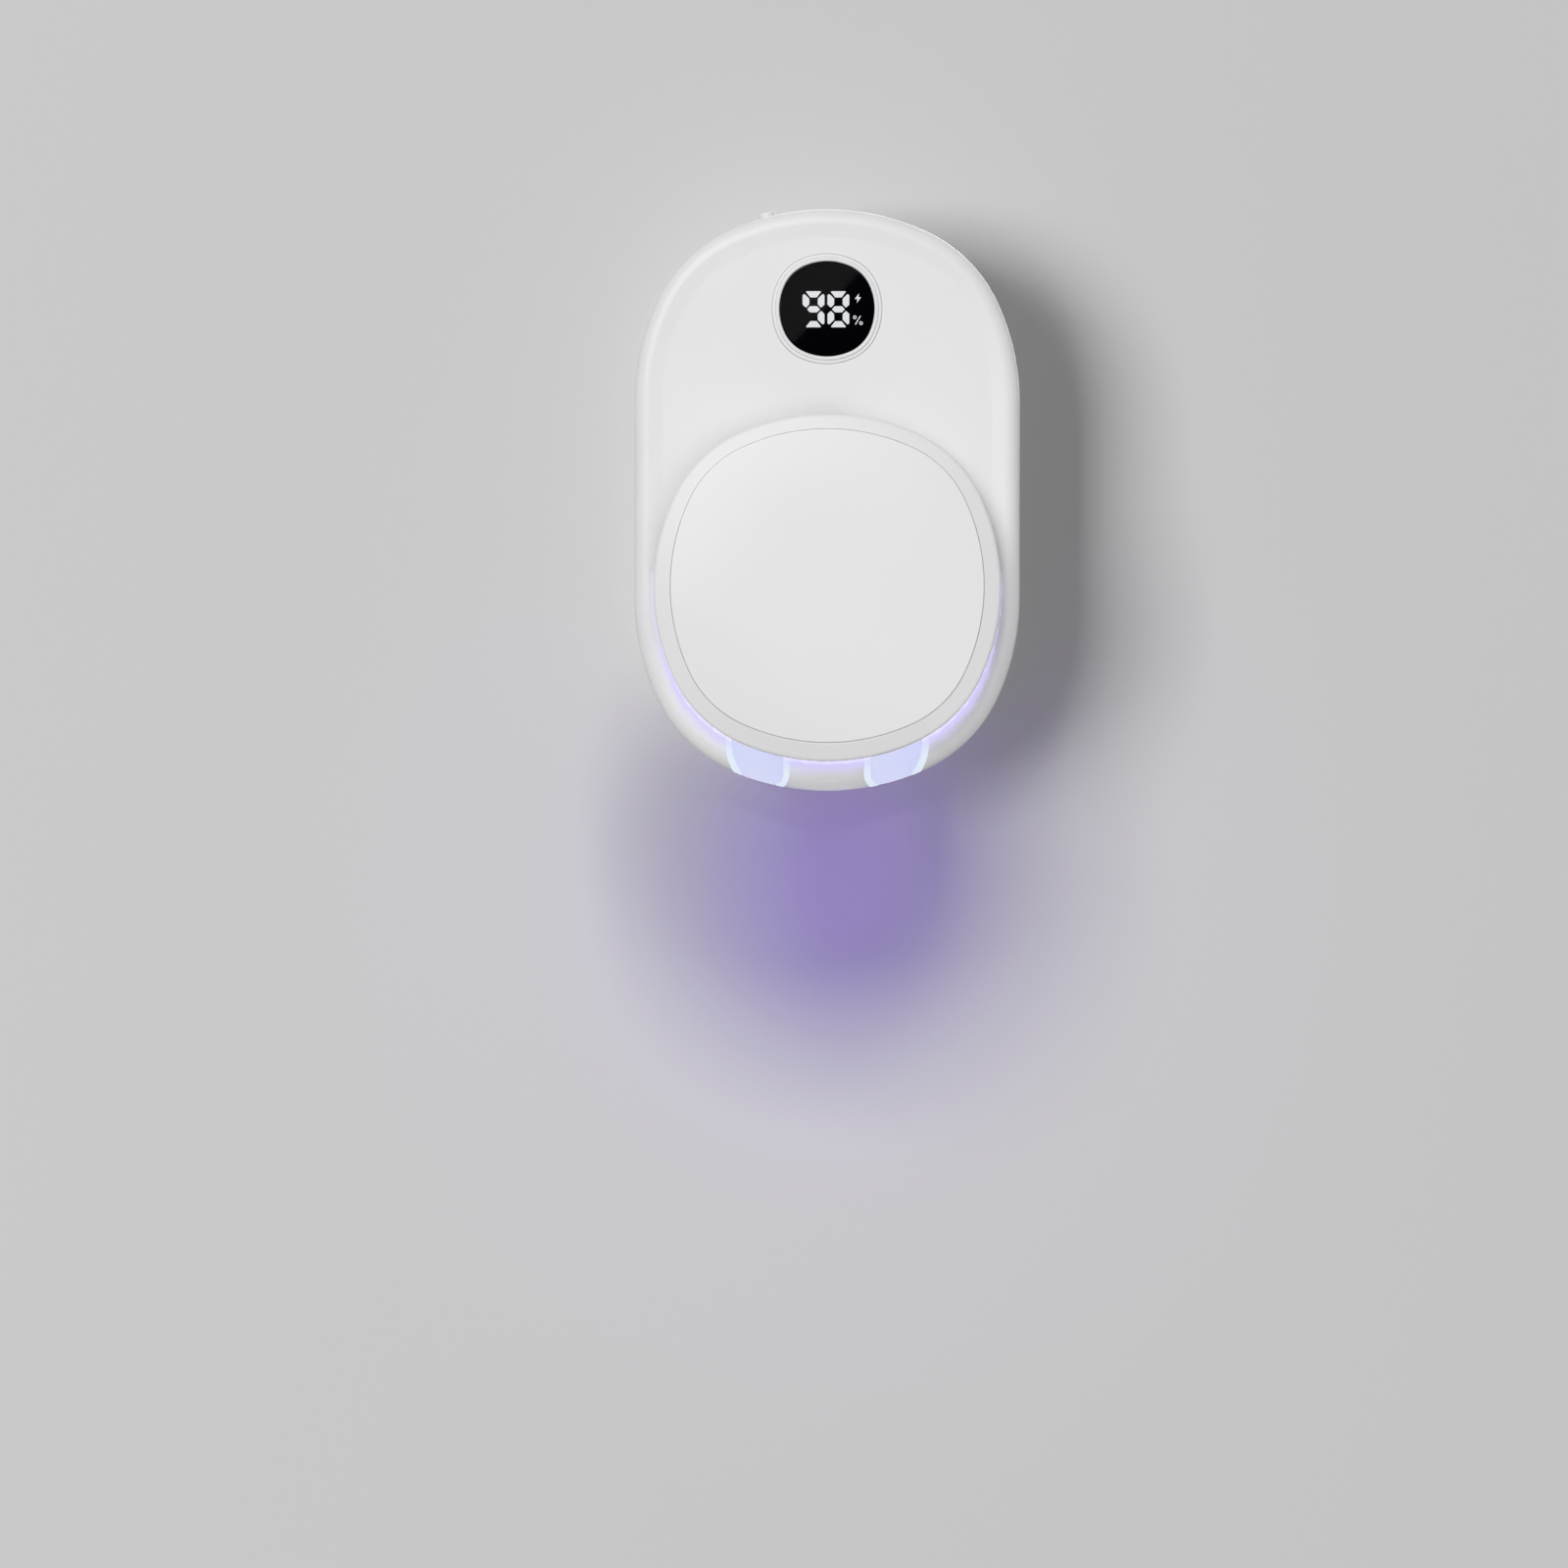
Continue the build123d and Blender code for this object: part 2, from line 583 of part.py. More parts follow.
def button_switch():
    """The tactile switch under the key, lying on the control board's front face."""
    lift = BUTTON_DEPTH - BOARD_FRONT - 0.02
    body = extrude(Pos(0, 0, -8.8) * Rectangle(6.0, 2 * lift), amount=3.5)
    bore = extrude(Pos(0, 0, -7.2) * Circle(0.86), amount=3)
    return button_place() * (body - bore)


# ---------------------------------------------------------------- door
def door_shell():
    """The door's outer moulding: side wall, sloping border, cap recess and hinge knuckles."""
    rise = DOOR_SEAM - DOOR_EDGE
    slope = degrees(acos(rise / sqrt(rise**2 + DOOR_BORDER**2)))
    body = slab(door_outline(), DOOR_BACK, DOOR_EDGE)
    body += extrude(Plane.XZ.offset(DOOR_EDGE) * door_outline(), amount=rise, dir=(0, -1, 0), taper=slope)
    corner = body.edges().filter_by_position(Axis.Y, -DOOR_EDGE - 0.01, -DOOR_EDGE + 0.01)
    body = fillet(corner, 0.9)
    body = fillet(back_edges(body), 0.4)
    body -= slab(cap_outline(-CAP_GAP), CAP_SEAT, 45)
    body -= slab(door_outline(1.8), 0, DOOR_CEILING)
    notch = (PIN_Z - 2.2, 30)
    knuckle = block((KNUCKLE_INNER_X, KNUCKLE_OUTER_X), (PIN_Z - 2.2, PIN_Z + 2.6), (PIN_DEPTH, 37))
    knuckle += pin_rod(2.2, (KNUCKLE_INNER_X, KNUCKLE_OUTER_X))
    inside = slab(door_outline(0.6), 0, DOOR_EDGE - 0.5)
    body += both_sides(knuckle & inside)
    body -= block((-DOOR_TOP_NOTCH, DOOR_TOP_NOTCH), notch, (0, DOOR_CEILING))
    swing = pin_rod(DOOR_Z + DOOR_HALF - PIN_Z, (-31, 31))
    body -= block((-30, 30), (PIN_Z, 30), (0, PIN_DEPTH)) - swing
    body += slab(Pos(0, MAGNET_Z) * Circle(MAGNET_RADIUS + 0.9), 33.4, DOOR_CEILING + 0.2) & inside
    body -= rod(0, MAGNET_Z, MAGNET_RADIUS + 0.05, (30, 35.0))
    for x, z in DOOR_POSTS:
        body += rod(x, z, 2.0, (32.7, DOOR_CEILING + 0.2))
    body -= each(DOOR_POSTS, lambda x, z: rod(x, z, 0.82, (30, 36)))
    return body - pin_rod(PIN_RADIUS, (-PIN_LENGTH / 2, PIN_LENGTH / 2))


def door_cap():
    """The glossy pillow-shaped panel let into the front of the door, slightly domed."""
    half = CAP_HALF - CAP_GAP
    ball = (half**2 + CAP_DOME**2) / (2 * CAP_DOME)
    dome = Pos(0, -(DOOR_SEAM + 0.1 + CAP_DOME - ball), CAP_Z) * Sphere(ball)
    cap = slab(cap_outline(CAP_GAP), CAP_SEAT + 0.02, 45) & dome
    return fillet(front_edges(cap), 0.22)


def door_liner():
    """The inner panel that closes the door's back, stepped for stiffness."""
    shape = slab(door_outline(2.0), 31.4, 32.6)
    shape -= slab(chamber_outline(4.0), 31.4 - 1, 31.9)
    shape -= block((-60, 60), (10.6, 60), (20, 40))
    shape -= each(DOOR_POSTS, lambda x, z: rod(x, z, 0.9, (30, 34)))
    shape -= rod(0, MAGNET_Z, MAGNET_RADIUS + 0.1, (32.2, 40))
    return shape


def door_liner_screws():
    return each(DOOR_POSTS, lambda x, z: screw(x, z, 0.8, 1.5, (30.55, 35.5), 0.84))


def door_bumpers():
    """Two soft dots that hold the closed door clear of the face."""
    dots = []
    for x in (-27.4, 27.4):
        dot = rod(x, -37.0, 1.5, (FACE + 0.32, 31.38))
        dots.append(fillet(back_edges(dot), 0.4))
    return dots


def hinge_pin():
    pin = pin_rod(PIN_RADIUS, (-PIN_LENGTH / 2, PIN_LENGTH / 2))
    return chamfer(pin.edges().filter_by(GeomType.CIRCLE), 0.2)


# ---------------------------------------------------------------- wall side
def adhesive_pad():
    return slab(RectangleRounded(40, 32, 4), 0, PAD_DEPTH)


def wall_bracket():
    """A plate with two L-shaped rails and a foot, open at the top for the casing's flange."""
    plate = slab(RectangleRounded(46, 54, 7), PAD_DEPTH, BRACKET_FRONT)
    plate = fillet(front_edges(plate), 0.6)
    for side in (-1, 1):
        upright = sorted((side * 13.2, side * 15.8))
        lip = sorted((side * 10.2, side * 15.8))
        plate += block(upright, (-17, RAIL_TOP), (BRACKET_FRONT - 0.5, RAIL_FRONT))
        plate += block(lip, (-17, RAIL_TOP), (LIP_BACK, RAIL_FRONT))
    plate += block((-15.8, 15.8), (-17, T_BOTTOM - 0.2), (BRACKET_FRONT - 0.5, RAIL_FRONT))
    for z in (-21.5, 21.5):
        plate -= rod(0, z, 2.1, (0, 5))
    return plate


# ---------------------------------------------------------------- every node
def build():
    envelope = casing_envelope()
    return {
        "adhesive_pad": adhesive_pad(),
        "wall_bracket": wall_bracket(),
        "rear_cover": rear_cover(envelope),
        "front_shell": front_shell(envelope),
        "casing_seal": casing_seal(),
        "casing_screws": casing_screws(),
        "chamber_tub": chamber_tub(envelope),
        "tub_screws": tub_screws(),
        "uv_window": uv_window(),
        "uv_led_board": uv_led_board(),
        "uv_leds": uv_leds(),
        "led_posts": led_posts(),
        "led_screws": each(LED_SCREWS, led_screw),
        "display_bezel": display_bezel(),
        "display_lens": display_lens(),
        "lens_tape": lens_tape(),
        "display_module": display_module(),
        "display_pins": display_pins(),
        "display_segments": display_segments(),
        "main_board": main_board(),
        "board_chips": board_chips(),
        "board_screws": board_screws(),
        "battery_plug": wire_plug(1),
        "led_plug": wire_plug(-1),
        "usb_socket": usb_socket(),
        "usb_tongue": usb_tongue(),
        "battery_cell": battery_cell(),
        "battery_tape": battery_tape(),
        "battery_leads": battery_leads(),
        "led_leads": led_leads(),
        "sensor_leads": sensor_leads(),
        "door_sensor": door_sensor(),
        "latch_magnet": magnet((27.2, FACE - 0.92)),
        "power_button": power_button(),
        "switch_plunger": switch_plunger(),
        "button_switch": button_switch(),
        "door_shell": door_shell(),
        "door_cap": door_cap(),
        "door_liner": door_liner(),
        "door_liner_screws": door_liner_screws(),
        "door_bumpers": door_bumpers(),
        "door_magnet": magnet((32.9, 34.95)),
        "hinge_pin": hinge_pin(),
    }


def main():
    os.makedirs("parts", exist_ok=True)
    for name, shape in build().items():
        whole = Compound(children=list(shape)) if isinstance(shape, list) else shape
        export_step(whole, f"parts/{name}.step")


main()
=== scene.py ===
import json
from math import cos, pi, radians, sin, sqrt

import bmesh
import bpy
from mathutils import Matrix, Vector

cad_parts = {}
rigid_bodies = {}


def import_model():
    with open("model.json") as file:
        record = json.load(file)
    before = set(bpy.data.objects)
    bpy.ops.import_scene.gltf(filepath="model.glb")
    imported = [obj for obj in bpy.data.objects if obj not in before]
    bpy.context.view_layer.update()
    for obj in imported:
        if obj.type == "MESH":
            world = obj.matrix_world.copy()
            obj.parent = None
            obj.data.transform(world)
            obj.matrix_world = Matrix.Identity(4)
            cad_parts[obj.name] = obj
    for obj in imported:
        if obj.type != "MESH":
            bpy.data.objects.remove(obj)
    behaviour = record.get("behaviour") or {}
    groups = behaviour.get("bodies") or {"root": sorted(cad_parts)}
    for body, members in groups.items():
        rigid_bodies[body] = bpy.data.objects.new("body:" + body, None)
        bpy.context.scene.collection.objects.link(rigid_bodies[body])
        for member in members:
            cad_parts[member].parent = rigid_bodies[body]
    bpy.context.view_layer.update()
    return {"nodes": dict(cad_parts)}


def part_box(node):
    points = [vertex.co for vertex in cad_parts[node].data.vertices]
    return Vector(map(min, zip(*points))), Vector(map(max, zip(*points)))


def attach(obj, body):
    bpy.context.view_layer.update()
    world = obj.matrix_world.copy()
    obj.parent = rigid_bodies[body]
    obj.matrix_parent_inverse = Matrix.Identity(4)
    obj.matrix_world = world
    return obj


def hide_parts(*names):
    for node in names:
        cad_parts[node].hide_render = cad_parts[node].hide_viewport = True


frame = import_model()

nodes = frame["nodes"]

# ---------------------------------------------------------------- bathroom wall, daylight and camera
# The sanitizer hangs on a plain pale wall. The wall is seen from its front only, so that the
# object's back can be looked at too.

MM = 0.001


def link(thing, name):
    """Puts a mesh, light or camera into the scene as an object at the origin."""
    made = bpy.data.objects.new(name, thing)
    bpy.context.scene.collection.objects.link(made)
    return made


def wire(material, start, end):
    """Joins an output of one of a material's nodes to an input of another."""
    material.node_tree.links.new(start, end)


def new_material(name):
    """A new material, and its shader."""
    material = bpy.data.materials.new(name)
    material.use_nodes = True
    return material, material.node_tree.nodes["Principled BSDF"]


def add_node(material, kind, **values):
    """A new node. Sockets are named by their label, with spaces as underscores."""
    node = material.node_tree.nodes.new(kind)
    for key, value in values.items():
        socket = key.replace("_", " ")
        if socket in node.inputs:
            node.inputs[socket].default_value = value
        else:
            setattr(node, key, value)
    return node


wall_paint, bsdf = new_material("wall_paint")
bsdf.inputs["Roughness"].default_value = 0.8
bsdf.inputs["Specular IOR Level"].default_value = 0.2
place = add_node(wall_paint, "ShaderNodeTexCoord")
cloud = add_node(wall_paint, "ShaderNodeTexNoise", Scale=2.5, Detail=4.0)
tint = add_node(wall_paint, "ShaderNodeValToRGB")
tint.color_ramp.elements[0].color = (0.675, 0.670, 0.670, 1)
tint.color_ramp.elements[1].color = (0.695, 0.690, 0.690, 1)
wire(wall_paint, place.outputs["Object"], cloud.inputs["Vector"])
wire(wall_paint, cloud.outputs["Fac"], tint.inputs["Fac"])
wire(wall_paint, tint.outputs["Color"], bsdf.inputs["Base Color"])
behind = add_node(wall_paint, "ShaderNodeNewGeometry")
clear = add_node(wall_paint, "ShaderNodeBsdfTransparent")
either = add_node(wall_paint, "ShaderNodeMixShader")
wire(wall_paint, behind.outputs["Backfacing"], either.inputs[0])
wire(wall_paint, bsdf.outputs[0], either.inputs[1])
wire(wall_paint, clear.outputs[0], either.inputs[2])
wire(wall_paint, either.outputs[0], wall_paint.node_tree.nodes["Material Output"].inputs["Surface"])

WALL_HALF, WALL_GAP = 4.0, 0.3 * MM
wall_mesh = bpy.data.meshes.new("wall")
wall_corners = [(-1, -1), (1, -1), (1, 1), (-1, 1)]
wall_points = [(x * WALL_HALF, WALL_GAP, z * WALL_HALF) for x, z in wall_corners]
wall_mesh.from_pydata(wall_points, [], [(0, 1, 2, 3)])
wall_mesh.materials.append(wall_paint)
wall = link(wall_mesh, "wall")
wall.visible_shadow = False

wall_only = bpy.data.collections.new("lit_wall")
wall_only.objects.link(wall)
object_only = bpy.data.collections.new("lit_object")
object_only.objects.link(wall)
object_only.collection_objects[0].light_linking.link_state = "EXCLUDE"


def area_light(name, at, towards, size, power, colour=(1, 1, 1), height=None, lights=None):
    """A rectangular lamp that the camera doesn't see. It may light the wall or the object only."""
    data = bpy.data.lights.new(name, "AREA")
    data.shape = "RECTANGLE"
    data.size = size
    data.size_y = height or size
    data.energy = power
    data.color = colour
    lamp = link(data, name)
    lamp.location = at
    lamp.rotation_mode = "QUATERNION"
    lamp.rotation_quaternion = (Vector(towards) - Vector(at)).to_track_quat("-Z", "Y")
    lamp.visible_camera = False
    if lights:
        lamp.light_linking.receiver_collection = lights
    return lamp


area_light("side_window", (-4.00, -5.20, 0.80), (0, 0, -0.05), 3.2, 330.0, lights=wall_only)
area_light("soft_key", (-0.90, -2.60, 1.25), (0, 0, -0.02), 1.8, 52.0, lights=object_only)
area_light("front_fill", (0.95, -2.70, -0.65), (0, 0, -0.02), 1.8, 15.0, lights=object_only)
area_light("back_fill", (0.5, 2.6, 0.9), (0, 0, 0), 1.6, 26.0)

world = bpy.data.worlds.new("room")
bpy.context.scene.world = world
world.cycles.sampling_method = "NONE"
world.use_nodes = True
world.node_tree.nodes["Background"].inputs["Color"].default_value = (0.98, 0.98, 1.0, 1)
world.node_tree.nodes["Background"].inputs["Strength"].default_value = 0.33

# A black flag between the daylight and the wall, which shades the wall below the object where the
# brushes would hang. Only the daylight sees it.
FLAG_AT, FLAG_HALF_WIDTH, FLAG_HALF_HEIGHT, FLAG_CORNERS = Vector((-41, -60, -61)), 38, 43, 32
flag_mesh = bpy.data.meshes.new("flag")
flag_points = []
for i in range(FLAG_CORNERS):
    turn = 2 * pi * i / FLAG_CORNERS
    from_middle = Vector((FLAG_HALF_WIDTH * cos(turn), 0, FLAG_HALF_HEIGHT * sin(turn)))
    flag_points.append((FLAG_AT + from_middle) * MM)
flag_mesh.from_pydata(flag_points, [], [range(FLAG_CORNERS)])
flag = link(flag_mesh, "flag")
flag.visible_camera = flag.visible_diffuse = flag.visible_glossy = flag.visible_transmission = False
not_flag = bpy.data.collections.new("shadow_without_flag")
not_flag.objects.link(flag)
not_flag.collection_objects[0].light_linking.link_state = "EXCLUDE"
for lamp in bpy.context.scene.objects:
    if lamp.type == "LIGHT" and lamp.name != "side_window":
        lamp.light_linking.blocker_collection = not_flag

# Two bright cards beside the camera, which only show as reflections. The slanting edge of one
# crosses the gauge's window, and the other gives the upper left of the door its sheen.
CARD_Y = -1.0


def bright_card(name, corners, strength):
    """A glowing card with the given (x, z) corners, which the light itself doesn't come from."""
    mesh = bpy.data.meshes.new(name)
    mesh.from_pydata([(x * MM, CARD_Y, z * MM) for x, z in corners], [], [(0, 1, 2, 3)])
    glow, shader = new_material(name)
    shader.inputs["Base Color"].default_value = (0, 0, 0, 1)
    shader.inputs["Emission Color"].default_value = (1, 1, 1, 1)
    shader.inputs["Emission Strength"].default_value = strength
    mesh.materials.append(glow)
    card = link(mesh, name)
    card.visible_camera = card.visible_diffuse = card.visible_transmission = card.visible_shadow = False


bright_card("slanting_card", [(34, 129), (-22, 69), (-120, 150), (-40, 240)], 1.3)
bright_card("sheen_card", [(-90, 60), (-90, 320), (-340, 320), (-340, 60)], 3.5)

# A long lens, square to the wall. FRAME_WIDTH is what it takes in at the depth of the casing's face.
FRAME_WIDTH, FACE_Y = 0.321, -0.0305
CAMERA_X, CAMERA_Z = -8.8 * MM, -58.2 * MM
lens = bpy.data.cameras.new("camera")
lens.lens = 180
lens.sensor_width = 36
camera = link(lens, "camera")
camera.location = (CAMERA_X, FACE_Y - FRAME_WIDTH * lens.lens / lens.sensor_width, CAMERA_Z)
camera.rotation_euler = (pi / 2, 0, 0)
lens.clip_start, lens.clip_end = 0.1, 20
bpy.context.scene.camera = camera
bpy.context.scene.view_settings.view_transform = "Khronos PBR Neutral"

# ---------------------------------------------------------------- adhesive pad
# A die-cut pad of closed-cell foam tape with a film of glue on both faces. It holds the bracket
# to the wall, and its cut edge bulges a little between the films.


def finish(name, light, dark, roughness, cloud, grain, bump=0.0, **sockets):
    """A surface that varies between two near colours in soft clouds, with a fine grain that
    changes its polish and its height. Cloud and grain are sizes in metres."""
    material, shader = new_material(name)
    where = add_node(material, "ShaderNodeTexCoord")
    soft = add_node(material, "ShaderNodeTexNoise", Scale=1 / cloud, Detail=2.0)
    fine = add_node(material, "ShaderNodeTexNoise", Scale=1 / grain, Detail=2.0)
    colour = add_node(material, "ShaderNodeValToRGB")
    colour.color_ramp.elements[0].position = 0.35
    colour.color_ramp.elements[1].position = 0.65
    colour.color_ramp.elements[0].color = (*dark, 1)
    colour.color_ramp.elements[1].color = (*light, 1)
    polish = add_node(material, "ShaderNodeMapRange", From_Min=0.3, From_Max=0.7)
    polish.inputs["To Min"].default_value = roughness[0]
    polish.inputs["To Max"].default_value = roughness[1]
    for texture in (soft, fine):
        wire(material, where.outputs["Object"], texture.inputs["Vector"])
    wire(material, soft.outputs["Fac"], colour.inputs["Fac"])
    wire(material, fine.outputs["Fac"], polish.inputs["Value"])
    wire(material, colour.outputs["Color"], shader.inputs["Base Color"])
    wire(material, polish.outputs["Result"], shader.inputs["Roughness"])
    if bump:
        relief = add_node(material, "ShaderNodeBump", Strength=0.6, Distance=bump)
        wire(material, fine.outputs["Fac"], relief.inputs["Height"])
        wire(material, relief.outputs["Normal"], shader.inputs["Normal"])
    for key, value in sockets.items():
        shader.inputs[key.replace("_", " ")].default_value = value
    return material


def dress(material, *names):
    """Gives CAD pieces a finish."""
    for name in names:
        for slot in nodes[name].material_slots:
            slot.material = material


def settle(mesh, crease=32):
    """Closes a mesh's seams, turns its faces outwards and smooths all but its sharp edges."""
    work = bmesh.new()
    work.from_mesh(mesh)
    bmesh.ops.remove_doubles(work, verts=work.verts, dist=0.001 * MM)
    bmesh.ops.recalc_face_normals(work, faces=work.faces)
    work.to_mesh(mesh)
    work.free()
    mesh.shade_smooth()
    mesh.set_sharp_from_angle(angle=radians(crease))


def fit(piece, body, slot, *replaced):
    """Fastens a finished piece to its body, in place of the CAD nodes that it stands for."""
    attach(piece, body)
    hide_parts(*replaced)


def rounded_rectangle(width, height, corner, inset, steps=8):
    """Points round a rounded rectangle centred on zero, moved inwards by inset."""
    points = []
    for quarter in range(4):
        x_sign, z_sign = ((1, 1), (-1, 1), (-1, -1), (1, -1))[quarter]
        middle = (x_sign * (width / 2 - corner), z_sign * (height / 2 - corner))
        for step in range(steps + 1):
            angle = pi / 2 * (quarter + step / steps)
            reach = corner - inset
            points.append((middle[0] + reach * cos(angle), middle[1] + reach * sin(angle)))
    return points


def plate(width, height, corner, profile, at=(0, 0), steps=8):
    """A rounded rectangular plate. Its profile is a list of (inset, depth) from back to front."""
    mesh = bpy.data.meshes.new("plate")
    work = bmesh.new()
    rings = []
    for inset, depth in profile:
        outline = rounded_rectangle(width, height, corner, inset, steps)
        rings.append([work.verts.new(((at[0] + x) * MM, -depth * MM, (at[1] + z) * MM)) for x, z in outline])
    for ring, following in zip(rings, rings[1:]):
        for i in range(len(ring)):
            j = (i + 1) % len(ring)
            work.faces.new((ring[i], ring[j], following[j], following[i]))
    work.faces.new(rings[0])
    work.faces.new(rings[-1])
    work.to_mesh(mesh)
    work.free()
    return mesh


foam = finish("foam_tape", (0.72, 0.72, 0.71), (0.68, 0.68, 0.67), (0.85, 0.98), 0.0012, 0.0004, 0.0001)


def foam_tape(node, corner, body):
    """A pad of foam between two films, in the box of the CAD node that it replaces."""
    low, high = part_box(node)
    size = (high - low) / MM
    back, front = -high.y / MM, -low.y / MM
    middle = ((low.x + high.x) / 2 / MM, (low.z + high.z) / 2 / MM)
    film, film_inset, bulge, steps = 0.07, 0.072, 0.12, 6
    profile = [(film_inset, back), (film_inset, back + film)]
    for step in range(steps + 1):
        along = step / steps
        profile.append((bulge * (1 - sin(pi * along)), back + film + (front - back - 2 * film) * along))
    profile += [(film_inset, front - film), (film_inset, front)]
    mesh = plate(size.x, size.z, corner, profile, middle)
    mesh.materials.append(foam)
    settle(mesh)
    fit(link(mesh, node + "_foam"), body, "foam_tape", node)


foam_tape("adhesive_pad", 4.0, "wall_mount")

# ---------------------------------------------------------------- wall bracket
# One moulding of matt white plastic: a plate with two L rails and a foot that stops the casing. The
# pad or two screws hold it to the wall, and the casing slides down over its rails.

bracket_plastic = finish("bracket_plastic", (0.76, 0.76, 0.77), (0.72, 0.72, 0.73), (0.50, 0.62), 0.02,
                         0.0003, 0.00003)
dress(bracket_plastic, "wall_bracket")

# ---------------------------------------------------------------- casing halves and seal
# The rear cover and the front shell are moulded in white ABS. Their outside is satin, with the
# faint orange-peel of a polished tool. A grey rubber ring with a round lip sits in their seam.

shell_plastic = finish("shell_plastic", (0.86, 0.86, 0.86), (0.845, 0.845, 0.85), (0.30, 0.36), 0.03,
                       0.0006, 0.000004)
dress(shell_plastic, "front_shell", "rear_cover")

SIDE_SWEEP = radians(25)


class Field:
    """A number worked out by a tree of geometry nodes, which can be used in ordinary sums."""

    def __init__(self, tree, socket):
        self.tree, self.socket = tree, socket

    def apply(self, operation, *others):
        node = self.tree.nodes.new("ShaderNodeMath")
        node.operation = operation
        for end, value in zip(node.inputs, (self, *others)):
            if isinstance(value, Field):
                self.tree.links.new(value.socket, end)
            else:
                end.default_value = value
        return Field(self.tree, node.outputs[0])

    def __add__(self, other):
        return self.apply("ADD", other)

    def __sub__(self, other):
        return self.apply("SUBTRACT", other)

    def __mul__(self, other):
        return self.apply("MULTIPLY", other)

    def __truediv__(self, other):
        return self.apply("DIVIDE", other)


def new_tree(name, **kinds):
    """An empty geometry tree with named inputs. Returns it with its input and output nodes."""
    tree = bpy.data.node_groups.new(name, "GeometryNodeTree")
    tree.interface.new_socket("Geometry", in_out="INPUT", socket_type="NodeSocketGeometry")
    for label, kind in kinds.items():
        tree.interface.new_socket(label.replace("_", " "), in_out="INPUT", socket_type="NodeSocket" + kind)
    tree.interface.new_socket("Geometry", in_out="OUTPUT", socket_type="NodeSocketGeometry")
    return tree, tree.nodes.new("NodeGroupInput"), tree.nodes.new("NodeGroupOutput")


def join_up(tree, start, *kinds, **inputs):
    """Passes geometry through simple nodes, one after another, and returns the last output."""
    flow = start
    for kind in kinds:
        node = tree.nodes.new("GeometryNode" + kind)
        tree.links.new(flow, node.inputs[0])
        for label, value in inputs.items():
            socket = node.inputs.get(label.replace("_", " "))
            if socket is None:
                continue
            if isinstance(value, bpy.types.NodeSocket):
                tree.links.new(value, socket)
            else:
                socket.default_value = value
        flow = node.outputs[0]
    return flow


def run_tree(piece, tree, **values):
    """Makes a plain mesh of what the tree turns the piece into."""
    modifier = piece.modifiers.new("make", "NODES")
    modifier.node_group = tree
    for item in tree.interface.items_tree:
        key = item.name.replace(" ", "_")
        if item.in_out == "INPUT" and key in values:
            modifier[item.identifier] = values[key]
    bpy.context.view_layer.update()
    evaluated = piece.evaluated_get(bpy.context.evaluated_depsgraph_get())
    mesh = bpy.data.meshes.new_from_object(evaluated)
    piece.modifiers.clear()
    piece.data = mesh
    return piece


# The tree that bends a strip round the soft-cornered outline that the casing, door, panel and
# gauge share. The strip's points are (turn about the centre, inset from the outline, depth).
wrap_tree, given, result = new_tree(
    "wrap_round_outline", Half="Float", Reach="Float", Rise="Float", Edge="Float", Centre_Z="Float",
    Material="Material")
size_names = ("Half", "Reach", "Rise", "Edge", "Centre Z")
size = {label: Field(wrap_tree, given.outputs[label]) for label in size_names}
start = wrap_tree.nodes.new("ShaderNodeSeparateXYZ")
wrap_tree.links.new(wrap_tree.nodes.new("GeometryNodeInputPosition").outputs[0], start.inputs[0])
turn, inset, depth = (Field(wrap_tree, socket) for socket in start.outputs)
lean = cos(SIDE_SWEEP) - sin(SIDE_SWEEP)
bend = 1 / (1 - (1 - sqrt(2) * sin(SIDE_SWEEP)) / lean)
side = size["Half"] * (size["Reach"] * bend + (1 - bend))
corner = side - (side - size["Half"]) / lean
out = (side - corner) * sin(SIDE_SWEEP)
cosine, sine = turn.apply("COSINE"), turn.apply("SINE")
across, upright = cosine.apply("ABSOLUTE"), sine.apply("ABSOLUTE")
on_corner = across.apply("MINIMUM", upright).apply("GREATER_THAN", sin(SIDE_SWEEP))
on_side = across.apply("GREATER_THAN", upright) * (on_corner * -1 + 1)
on_end = (across.apply("GREATER_THAN", upright) * -1 + 1) * (on_corner * -1 + 1)
flat_in = side - size["Half"]
centre_x = cosine.apply("SIGN") * (out * on_corner - flat_in * on_side)
centre_z = sine.apply("SIGN") * (out * on_corner - flat_in * on_end + size["Rise"])
radius = side + (corner - side) * on_corner - inset.apply("MINIMUM", size["Edge"])
shrink = (inset - size["Edge"]).apply("MAXIMUM", 0) / (size["Half"] - size["Edge"]) * -1 + 1
end = wrap_tree.nodes.new("ShaderNodeCombineXYZ")
for value, socket in zip(((centre_x + radius * cosine) * shrink, depth * -1,
                          (centre_z + radius * sine) * shrink + size["Centre Z"]), end.inputs):
    wrap_tree.links.new(value.socket, socket)
flow = join_up(wrap_tree, given.outputs["Geometry"], "SetPosition", Position=end.outputs[0])
flow = join_up(wrap_tree, flow, "MergeByDistance", "RealizeInstances", "SetMaterial",
               Distance=0.001 * MM, Material=given.outputs["Material"])
wrap_tree.links.new(flow, result.inputs[0])


